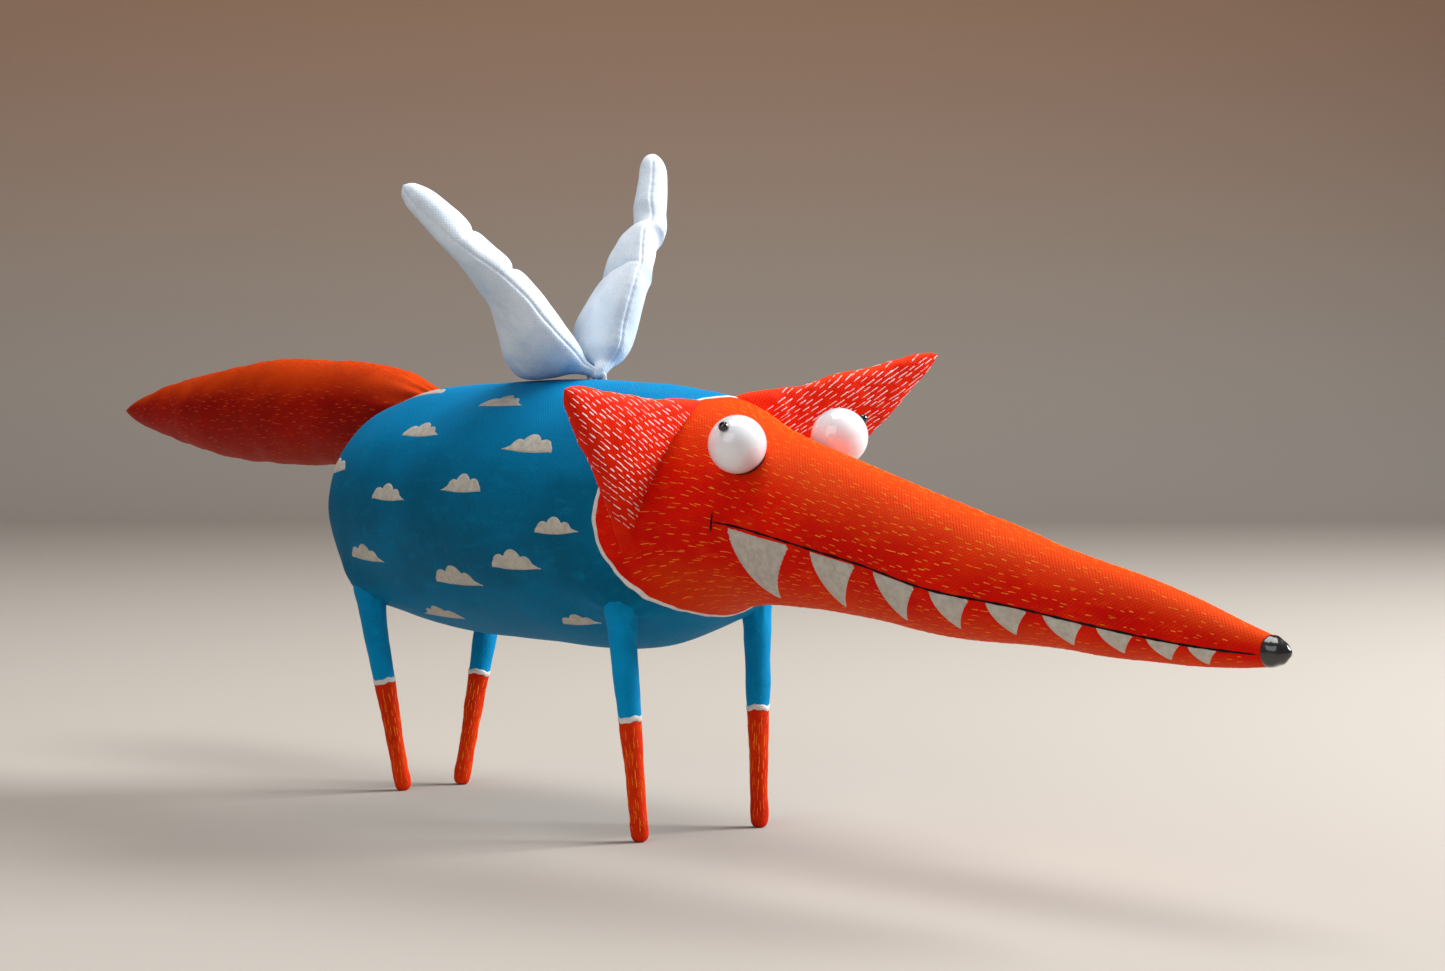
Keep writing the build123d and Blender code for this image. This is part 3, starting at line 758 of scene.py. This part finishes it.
def leg(pair, name, side, materials, fibre):
    columns, rows = 56, 170
    angle = np.linspace(0, 2 * math.pi, columns, endpoint=False)
    height = np.concatenate([np.linspace(0, 4, 26), np.linspace(4, 52.4, rows)[1:]])[:, None] + 0 * angle
    grid = leg_points(pair, side, height, np.broadcast_to(angle, height.shape))
    limb = f"{pair}_{name}_leg"
    red_cloth = materials["red"]
    piece = stuffed(f"{limb}_skin", grid, height[:, 0], red_cloth, "root", f"{limb}_cover")
    piece.data.materials.append(materials["blue"])
    foot, hip = (np.array(p, float) * (1, side, 1) for p in FEET[pair])
    for face in piece.data.polygons:
        if (np.array(face.center) / MM - (SHIFT_X, 0, 0) - foot) @ unit(hip - foot) > BAND_Z[pair]:
            face.material_index = 1
    height = np.linspace(1.2, 50, 40)[:, None] + 0 * angle
    grid = leg_points(pair, side, height, np.broadcast_to(angle, height.shape), inset=THIN_CLOTH)
    stuffed(f"{limb}_fibre", grid, height[:, 0], fibre, "root", f"{limb}_stuffing")
    band(pair, name, side, materials["white"])


def band(pair, name, side, material):
    """The white ring painted round a leg, with wavering edges."""
    columns = 64
    angle = np.linspace(0, 2 * math.pi, columns, endpoint=False)
    waver = 0.16 * np.sin(3 * angle + side) + 0.1 * np.sin(7 * angle)
    profile = [(-0.5, -0.12), (-0.42, 0.09), (0, 0.13), (0.42, 0.09), (0.5, -0.12), (0, -0.2)]
    rows = [
        leg_points(pair, side, BAND_Z[pair] + waver + BAND_WIDTH * across, angle, lift=np.full(columns, lift))
        for across, lift in profile
    ]
    grid = np.array(rows)
    uvs = ring_uvs(grid, [p[0] for p in profile])
    tube(f"{pair}_{name}_leg_band", grid, uvs, material, "root", joined=True)


def leg_strokes(pair, name, side, material):
    rng = np.random.default_rng(51 + 2 * (side > 0) + 5 * (pair == "rear"))
    centers = []
    for k, height in enumerate(np.arange(3.2, BAND_Z[pair] - 2.4, 1.5)):
        angles = (np.arange(8) + 0.5 * (k % 2) + rng.normal(0, 0.2, 8)) / 8 * 2 * math.pi
        centers += [(height + rng.normal(0, 0.5), a) for a in angles]
    centers = np.array(centers)
    half = np.minimum(rng.uniform(0.8, 1.7, len(centers)), centers[:, 0] - 1.5)
    half = np.minimum(half, BAND_Z[pair] - 1 - centers[:, 0])
    halves = np.stack([half, rng.normal(0, 0.03, len(half))], -1)
    widths = np.stack([0 * half, rng.uniform(0.03, 0.055, len(half))], -1)

    def surface(p, q, lift):
        return leg_points(pair, side, p, q, lift=lift)

    dashes = f"{pair}_{name}_leg_dashes"
    strokes(dashes, surface, centers, halves, widths, 0.05, material, "root")


# ---- wings

WING_PROFILES = {name: flowing(wing[4], 1500) for name, wing in WINGS.items()}


def wing_axes(name):
    side, lift, lean, shift = WINGS[name][:4]
    lift, lean = math.radians(lift), math.radians(lean)
    rise = np.array([0, side * math.cos(lift), math.sin(lift)])
    rear = np.array([-1.0, 0, 0])
    span = rise * math.cos(lean) + rear * math.sin(lean)
    chord = rear * math.cos(lean) - rise * math.sin(lean)
    return np.array([FLAP_AXIS_X + shift, 0, FLAP_AXIS_Z]), span, chord, np.cross(span, chord)


# How deep each channel of stitching cuts into the trailing edge
NOTCH = {"right": 0.25, "left": 1.5}


def wing_points(name, along, angle, inset=0.0):
    """Points of a stuffed wing: along the span from the root, the angle from the leading edge round."""
    origin, span, chord, flat = wing_axes(name)
    profile = WING_PROFILES[name]
    lead, trail, half, twist, bow = (np.interp(along, profile[:, 0], profile[:, k]) for k in range(1, 6))
    across, through = rounded(angle, 2.1)
    inner = np.clip(through * SIDES[name], 0, 1)
    if name == "right":
        # The lower lobe hangs just clear of the back
        low = np.exp(-(((along - 12) / 11) ** 2))
        trail, half = trail - 0.5 * low, half * (1 - 0.1 * low * np.clip(through, 0, 1))
        half = half - 0.16 * np.exp(-((along / 2.5) ** 2))
    for notch in WINGS[name][5]:
        away = np.abs(along - notch)
        trail = trail - NOTCH[name] * (np.exp(-away / 1.2) - 0.35 * np.exp(-((away / 5) ** 2)))
        # The channel of stitching pinches the inner face
        half = half * (1 - 0.3 * inner * np.exp(-away / 0.9))
    reach = np.maximum((trail - lead) / 2 - inset, 0.02)
    depth = np.maximum(half - inset, 0.02)
    center = origin + along[..., None] * span + ((lead + trail) / 2)[..., None] * chord
    center = center + bow[..., None] * flat
    turn = np.radians(twist)[..., None]
    turned_chord = chord * np.cos(turn) - flat * np.sin(turn)
    turned_flat = flat * np.cos(turn) + chord * np.sin(turn)
    points = center - (across * reach)[..., None] * turned_chord + (through * depth)[..., None] * turned_flat
    seed = 61 if name == "right" else 71
    fade = np.clip(half / 2, 0, 1)
    swell = (0.2 * lumps(points, seed, 17) + 0.07 * lumps(points, seed + 1, 6)) * fade
    # The two cloth panels meet in a fine valley along the leading edge, its stitches puckering it
    rim = np.minimum(np.abs(angle), 2 * math.pi - np.abs(angle)) * np.maximum(half, 0.3)
    swell -= 0.24 * np.exp(-((rim / 0.3) ** 2)) * fade
    swell += 0.02 * np.sin(along * 3.4) * np.exp(-((rim / 1.2) ** 2)) * fade
    outward = unit(-across[..., None] * turned_chord + 1.4 * through[..., None] * turned_flat)
    return points + outward * swell[..., None]


def wing(name, material, fibre):
    columns, rows = 168, 230
    even = np.linspace(-1, 1, columns, endpoint=False)
    # Columns crowd at the leading edge, where the seam's valley is narrow
    angle = math.pi * (0.45 * even + 0.55 * even**3) % (2 * math.pi)
    end = WINGS[name][4][-1][0]
    # Rows crowd at both ends, which are round
    root, tip = np.linspace(-1.15, 1.5, 22)[:-1], np.linspace(end - 3, end, 28)[1:]
    along = np.concatenate([root, np.linspace(1.5, end - 3, rows), tip])[:, None] + 0 * angle
    grid = wing_points(name, along, np.broadcast_to(angle, along.shape))
    body = f"{name}_wing"
    stuffed(f"{body}_pad", grid, along[:, 0], material, body, f"{body}_cover")
    along = np.linspace(5, end - 2.5, 60)[:, None] + 0 * angle
    grid = wing_points(name, along, np.broadcast_to(angle, along.shape), inset=THIN_CLOTH + 0.1)
    stuffed(f"{body}_fibre", grid, along[:, 0], fibre, body, f"{body}_stuffing")


# ---- beads and nose

def turned(name, outline, origin, axis, material, body, columns=96, waver=None):
    """A turned piece: its outline is distance along the axis and radius, closed on itself."""
    axis = unit(axis)
    across = unit(np.cross(axis, (0.3, 0.1, 0.9)))
    third = np.cross(axis, across)
    angle = np.linspace(0, 2 * math.pi, columns, endpoint=False)
    out = np.cos(angle)[:, None] * across + np.sin(angle)[:, None] * third
    outline = np.asarray(outline, float)
    grid = origin + outline[:, 0, None, None] * axis + outline[:, 1, None, None] * out
    if waver:
        grid = grid + out * (waver * lumps(grid, 81, 2.5) * np.minimum(outline[:, 1], 1)[:, None])[..., None]
    return tube(name, grid, ring_uvs(grid, outline[:, 0]), material, body, joined=True)


def bead_outline(radius, hole, countersink, steps):
    """Half a bead's section: round outside, straight bore, its ends eased."""
    limit = math.asin((hole + countersink) / radius)
    arc = np.linspace(limit, math.pi - limit, steps)
    outside = [(radius * math.cos(a), radius * math.sin(a)) for a in arc]
    bore = radius * math.cos(limit) - countersink
    return outside + [(-bore, hole), (0, hole), (bore, hole)]


def eyes(white, black):
    for name, side in SIDES.items():
        axis = EYE_AXIS * (1, side, 1)
        center = sided(EYE, side, EYE_LEAN)
        outline = bead_outline(EYE_RADIUS, 0.6, 0.12, 90)
        piece = turned(f"{name}_eye_ball", outline, center, axis, white, f"{name}_eye")
        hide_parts(f"{name}_eye_bead")
        outline = [(0.95 * x, y) for x, y in bead_outline(PUPIL_RADIUS, 0.42, 0.1, 9)]
        origin = center + unit(axis) * (PUPIL_DISTANCE + 0.05)
        piece = turned(f"{name}_pupil", outline, origin, axis, black, f"{name}_eye", 18, 0.05)
        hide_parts(f"{name}_pupil_bead")


def nose(material):
    profile = [(-0.6, 2.4), (-0.1, 2.85), (0.7, 2.8), (1.7, 2.45), (2.8, 1.85), (3.7, 1.1)]
    profile += [(4.2, 0.5), (4.3, 0.02)]
    outline = flowing(profile, 60).tolist() + [(0.7, 0.02), (-0.6, 0.4)]
    origin = np.array([SNOUT_END, 0, 49.4])
    piece = turned("nose_cap", outline, origin, (1, 0, -0.03), material, "root", 72, 0.09)
    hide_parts("nose_tip")


# ---- materials

def linear(r, g, b):
    """A colour on the 0 to 255 screen scale, in linear light."""
    def channel(c):
        c = c / 255
        return c / 12.92 if c <= 0.04045 else ((c + 0.055) / 1.055) ** 2.4
    return channel(r), channel(g), channel(b), 1.0


class Nodes:
    """Short ways to add the nodes of one material."""

    def __init__(self, name):
        self.material = bpy.data.materials.new(name)
        self.material.use_nodes = True
        self.tree = self.material.node_tree
        self.shader = self.tree.nodes["Principled BSDF"]

    def link(self, value, socket):
        if isinstance(value, bpy.types.NodeSocket):
            self.tree.links.new(value, socket)
        else:
            socket.default_value = value

    def math(self, operation, a, b=0.0):
        node = self.tree.nodes.new("ShaderNodeMath")
        node.operation = operation
        self.link(a, node.inputs[0])
        self.link(b, node.inputs[1])
        return node.outputs[0]

    def noise(self, scale, detail=3.0, rough=0.5, stretch=None):
        """Noise in object space: scale is features per metre."""
        coordinates = self.tree.nodes.new("ShaderNodeTexCoord").outputs["Object"]
        if stretch:
            mapping = self.tree.nodes.new("ShaderNodeMapping")
            mapping.inputs["Scale"].default_value = stretch
            self.link(coordinates, mapping.inputs[0])
            coordinates = mapping.outputs[0]
        node = self.tree.nodes.new("ShaderNodeTexNoise")
        self.link(coordinates, node.inputs["Vector"])
        for key, value in (("Scale", scale), ("Detail", detail), ("Roughness", rough)):
            node.inputs[key].default_value = value
        return node.outputs["Fac"]

    def upward(self):
        """How far the surface faces up, from -1 to 1."""
        split = self.tree.nodes.new("ShaderNodeSeparateXYZ")
        self.link(self.tree.nodes.new("ShaderNodeTexCoord").outputs["Normal"], split.inputs[0])
        return split.outputs[2]

    def ramp(self, value, low, high):
        """0 below low, 1 above high, smooth between."""
        node = self.tree.nodes.new("ShaderNodeMapRange")
        node.interpolation_type = "SMOOTHSTEP"
        self.link(value, node.inputs["Value"])
        node.inputs["From Min"].default_value, node.inputs["From Max"].default_value = low, high
        return node.outputs["Result"]

    def mix(self, share, a, b):
        node = self.tree.nodes.new("ShaderNodeMix")
        node.data_type = "RGBA"
        self.link(share, node.inputs["Factor"])
        self.link(a, node.inputs["A"] if not isinstance(a, tuple) else node.inputs[6])
        self.link(b, node.inputs["B"] if not isinstance(b, tuple) else node.inputs[7])
        return node.outputs[2]

    def bump(self, height, distance, under=None):
        node = self.tree.nodes.new("ShaderNodeBump")
        node.inputs["Distance"].default_value = distance
        self.link(height, node.inputs["Height"])
        if under is not None:
            self.link(under, node.inputs["Normal"])
        return node.outputs[0]

    def weave(self, pitch):
        """Height of a plain weave over the cloth's own coordinates, from -1 to 1, its threads uneven."""
        source = self.tree.nodes.new("ShaderNodeUVMap")
        source.uv_map = "cloth"
        split = self.tree.nodes.new("ShaderNodeSeparateXYZ")
        self.link(source.outputs[0], split.inputs[0])
        waver = self.math("MULTIPLY", self.noise(700, 2.0), 0.9)
        turns = math.pi / (pitch * MM)
        warp = self.math("SINE", self.math("ADD", self.math("MULTIPLY", split.outputs[0], turns), waver))
        weft = self.math("SINE", self.math("ADD", self.math("MULTIPLY", split.outputs[1], turns), waver))
        return self.math("MULTIPLY", warp, weft)

    def surface(self, colour, roughness, normal=None, **constants):
        self.link(colour, self.shader.inputs["Base Color"])
        self.link(roughness, self.shader.inputs["Roughness"])
        if normal is not None:
            self.link(normal, self.shader.inputs["Normal"])
        for key, value in constants.items():
            self.shader.inputs[key.replace("_", " ")].default_value = value
        return self.material


def painted_cloth(name, deep, base, light, painted_top_light, painted_underside_light, pitch=0.42, worn=0.35, bumps=0.00004, gloss=0.05):
    """Calico under acrylic paint: blotchy brushwork, a lighter dry coat on the tops of the weave.

    The last two colours are painted light laid over the parts that face up and down: a lighter top as if lit
    from above, and an underside with painted bounce light from the floor on the blue and red, and painted
    shade on the white.
    """
    deep, base, light, painted_top_light, painted_underside_light = (linear(*c) for c in (deep, base, light, painted_top_light, painted_underside_light))
    n = Nodes(name)
    weave = n.weave(pitch)
    blotches = n.ramp(n.noise(45, 4.0, 0.6), 0.35, 0.68)
    brush = n.noise(420, 3.0, 0.6, (0.35, 1.0, 1.0))
    colour = n.mix(blotches, deep, base)
    drift = n.math("MULTIPLY", n.noise(60, 3.0), 0.5)
    # Painted light: the parts that face up are laid over with a lighter top colour, as if lit from above
    colour = n.mix(n.ramp(n.math("ADD", n.upward(), drift), 0.35, 1.3), colour, painted_top_light)
    # Painted light and shade: the parts that face down are laid over with the underside colour, painted
    # bounce light or painted shade
    colour = n.mix(n.ramp(n.math("SUBTRACT", drift, n.upward()), 0.6, 1.15), colour, painted_underside_light)
    tops = n.ramp(n.math("ADD", n.math("MULTIPLY", weave, 0.10), brush), 0.53, 0.76)
    colour = n.mix(n.math("MULTIPLY", tops, worn), colour, light)
    # Painted shade: the hollows of the weave are darkened towards a deeper tone than the paint has
    weave_hollow_shade = n.ramp(n.math("ADD", n.math("MULTIPLY", weave, -0.25), n.noise(1500, 2.0)), 0.62, 0.95)
    colour = n.mix(n.math("MULTIPLY", weave_hollow_shade, 0.3), colour, tuple(0.4 * c for c in deep[:3]) + (1.0,))
    roughness = n.math("ADD", n.math("MULTIPLY", brush, 0.18), 0.5)
    coarse = n.bump(n.noise(260, 4.0, 0.65), 0.00022)
    fine = n.bump(n.math("ADD", weave, n.math("MULTIPLY", n.noise(2600, 2.0), 0.9)), bumps, coarse)
    return n.surface(colour, roughness, fine, Specular_IOR_Level=gloss)


def thick_paint(name, deep, base, rough=0.55):
    """Paint strokes that lie on the cloth: slightly uneven in colour, the grain showing through."""
    deep, base = linear(*deep), linear(*base)
    n = Nodes(name)
    colour = n.mix(n.ramp(n.noise(700, 3.0, 0.6), 0.3, 0.7), deep, base)
    fade = n.ramp(n.noise(160, 2.0), 0.3, 0.75)
    colour = n.mix(n.math("MULTIPLY", fade, 0.3), colour, deep)
    normal = n.bump(n.noise(2200, 3.0, 0.6), 0.0001)
    roughness = n.math("ADD", n.math("MULTIPLY", fade, 0.15), rough)
    return n.surface(colour, roughness, normal, Specular_IOR_Level=0.1)


def bead_gloss(name, base, tint, rough=0.06):
    """Glazed bead: a clear gloss with faint clouding under it."""
    n = Nodes(name)
    colour = n.mix(n.ramp(n.noise(90, 3.0), 0.35, 0.75), linear(*base), linear(*tint))
    roughness = n.math("ADD", n.math("MULTIPLY", n.noise(240, 3.0), 0.08), rough)
    normal = n.bump(n.noise(320, 2.0), 0.00003)
    return n.surface(colour, roughness, normal, Coat_Weight=0.6, Coat_Roughness=0.04, Specular_IOR_Level=0.55)


def fibre(name, base, dark):
    """Loose polyester filling."""
    n = Nodes(name)
    strands = n.noise(900, 5.0, 0.75, (0.25, 1.0, 1.4))
    colour = n.mix(n.ramp(strands, 0.35, 0.7), linear(*dark), linear(*base))
    return n.surface(colour, 0.9, n.bump(strands, 0.0008), Sheen_Weight=0.4, Specular_IOR_Level=0.3)


def twisted(name, base, dark, turns, rough, metal):
    """Twisted thread or drawn wire: fine slanting lines."""
    n = Nodes(name)
    coordinates = n.tree.nodes.new("ShaderNodeTexCoord").outputs["Object"]
    lines = n.tree.nodes.new("ShaderNodeTexWave")
    lines.bands_direction = "DIAGONAL"
    lines.inputs["Scale"].default_value = turns
    n.link(coordinates, lines.inputs["Vector"])
    colour = n.mix(lines.outputs["Fac"], linear(*dark), linear(*base))
    return n.surface(colour, rough, n.bump(lines.outputs["Fac"], 0.00006), Metallic=metal)


# ---- stage, lights and camera

# The camera looks along +Y turned this far towards the tail, and the backdrop faces it
HEADING = math.radians(49.8)


def stage():
    """A plain pale floor that turns up into a plain pale backdrop."""
    n = Nodes("pale_floor")
    height = n.tree.nodes.new("ShaderNodeSeparateXYZ")
    n.link(n.tree.nodes.new("ShaderNodeTexCoord").outputs["Object"], height.inputs[0])
    n.surface(n.mix(n.ramp(height.outputs[2], 0.0, 0.5), linear(176, 167, 156), linear(174, 136, 110)), 0.8)
    forward = Vector((-math.sin(HEADING), math.cos(HEADING), 0))
    right = Vector((forward.y, -forward.x, 0))
    run, bend, rise, half = 1.5, 0.5, 4.0, 9.0
    profile = [(-9.0, 0.0), (-1.0, 0.0), (0.5, 0.0), (run, 0.0)]
    for k in range(1, 17):
        turn = math.pi / 2 * k / 16
        profile.append((run + bend * math.sin(turn), bend * (1 - math.cos(turn))))
    profile.append((run + bend, rise))
    points, faces = [], []
    for along, up in profile:
        for side in (-half, half):
            points.append(tuple(forward * along + right * side + Vector((0, 0, up))))
    for k in range(len(profile) - 1):
        faces.append((2 * k, 2 * k + 1, 2 * k + 3, 2 * k + 2))
    mesh = bpy.data.meshes.new("floor")
    mesh.from_pydata(points, [], faces)
    mesh.materials.append(n.material)
    mesh.shade_smooth()
    floor = bpy.data.objects.new("floor", mesh)
    bpy.context.scene.collection.objects.link(floor)


def softbox(name, position, target, size, power, colour):
    light = bpy.data.lights.new(name, "AREA")
    light.shape, light.size, light.size_y = "RECTANGLE", size[0], size[1]
    light.energy, light.color = power, colour
    lamp = bpy.data.objects.new(name, light)
    bpy.context.scene.collection.objects.link(lamp)
    lamp.location = position
    lamp.rotation_mode = "QUATERNION"
    lamp.rotation_quaternion = (Vector(target) - Vector(position)).to_track_quat("-Z", "Y")


def lights():
    world = bpy.data.worlds.new("soft_room")
    bpy.context.scene.world = world
    world.use_nodes = True
    background = world.node_tree.nodes["Background"]
    background.inputs["Color"].default_value = (0.95, 0.97, 1.0, 1.0)
    background.inputs["Strength"].default_value = 0.25
    middle = (0.02, 0.0, 0.07)
    softbox("window", (0.55, 0.95, 0.75), middle, (0.7, 0.55), 28, (0.92, 0.96, 1.0))
    softbox("overhead", (-0.1, 0.1, 1.3), middle, (0.8, 0.8), 11, (0.97, 0.98, 1.0))
    softbox("front_fill", (0.3, -1.2, 0.7), middle, (1.0, 0.8), 4.5, (0.98, 0.98, 1.0))


def camera():
    pitch = math.radians(1.817)
    level = math.cos(pitch)
    forward = Vector((-math.sin(HEADING) * level, math.cos(HEADING) * level, -math.sin(pitch)))
    data = bpy.data.cameras.new("view")
    data.lens, data.sensor_width = 75.0, 36.0
    data.clip_start, data.clip_end = 0.01, 20.0
    eye = bpy.data.objects.new("view", data)
    bpy.context.scene.collection.objects.link(eye)
    eye.location = place((541.1, -409.0, 94.7)).tolist()
    eye.rotation_mode = "QUATERNION"
    eye.rotation_quaternion = forward.to_track_quat("-Z", "Y")
    bpy.context.scene.camera = eye
    bpy.context.scene.view_settings.view_transform = "Standard"


# ---- the figure

red = painted_cloth(
    "red_paint", (204, 11, 0), (226, 20, 0), (240, 72, 6), (228, 68, 4), (214, 54, 4)
)
ear_red = painted_cloth(
    "ear_red_paint", (222, 32, 2), (240, 44, 4), (246, 70, 20), (246, 62, 20), (216, 26, 6)
)
# Painted shade: the tail's red is a darker copy of the head's red, for the tail lying further from the window
# light
tail_shaded_red = painted_cloth(
    "tail_red_paint", (136, 8, 0), (156, 12, 0), (186, 48, 4), (204, 62, 2), (146, 24, 0)
)
blue = painted_cloth(
    "blue_paint", (0, 90, 124), (0, 104, 144), (8, 132, 176), (0, 132, 186), (0, 118, 164)
)
white = painted_cloth(
    "white_paint", (202, 216, 228), (228, 238, 247), (242, 248, 253), (240, 247, 255), (196, 216, 236),
    worn=0.4, bumps=0.00002, gloss=0.12,
)
leg_red = painted_cloth(
    "leg_red_paint", (196, 32, 2), (222, 50, 4), (240, 92, 20), (236, 78, 10), (204, 40, 4), pitch=0.36
)
leg_blue = painted_cloth(
    "leg_blue_paint", (0, 126, 176), (0, 148, 206), (12, 168, 222), (0, 150, 206), (0, 150, 210), pitch=0.36
)
cream = thick_paint("cream_paint", (176, 168, 156), (198, 192, 180))
chalk = thick_paint("chalk_paint", (244, 196, 192), (252, 238, 240))
clean_white = thick_paint("white_line_paint", (206, 202, 196), (226, 222, 216))
ochre = thick_paint("ochre_paint", (176, 44, 4), (200, 72, 8))
yellow = thick_paint("yellow_paint", (232, 104, 14), (246, 150, 36))
black = thick_paint("black_paint", (8, 5, 5), (16, 11, 11), rough=0.5)
eye_white = bead_gloss("eye_glaze", (236, 236, 238), (244, 244, 246))
pupil_black = bead_gloss("pupil_glass", (10, 10, 12), (18, 18, 22))
nose_black = bead_gloss("nose_lacquer", (16, 12, 12), (30, 22, 22), rough=0.16)
filling = fibre("fibre_filling", (236, 234, 226), (206, 202, 192))

body_cover(blue)
head_cover(red)
trunk_stuffing(filling)
neck_seam(clean_white)
clouds(cream)
mouth(black, cream)
head_strokes(yellow)
for ear_name, ear_side in SIDES.items():
    ear(ear_name, ear_side, ear_red, filling)
    ear_strokes(ear_name, ear_side, 90 + ear_side, chalk)
tail(tail_shaded_red, filling)
tail_strokes(ochre)
for leg_pair in FEET:
    for leg_name, leg_side in SIDES.items():
        leg(leg_pair, leg_name, leg_side, {"red": leg_red, "blue": leg_blue, "white": clean_white}, filling)
        leg_strokes(leg_pair, leg_name, leg_side, yellow)
for wing_name in WINGS:
    wing(wing_name, white, filling)
eyes(eye_white, pupil_black)
nose(nose_black)

cotton = twisted("cotton_thread", (232, 230, 224), (190, 186, 178), 900, 0.7, 0.0)
steel = twisted("wire_steel", (150, 146, 140), (120, 116, 110), 500, 0.35, 1.0)
for node_name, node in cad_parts.items():
    if not node.hide_render:
        node.data.materials.clear()
        node.data.materials.append(steel if node_name.endswith("wire") else cotton)

stage()
lights()
camera()
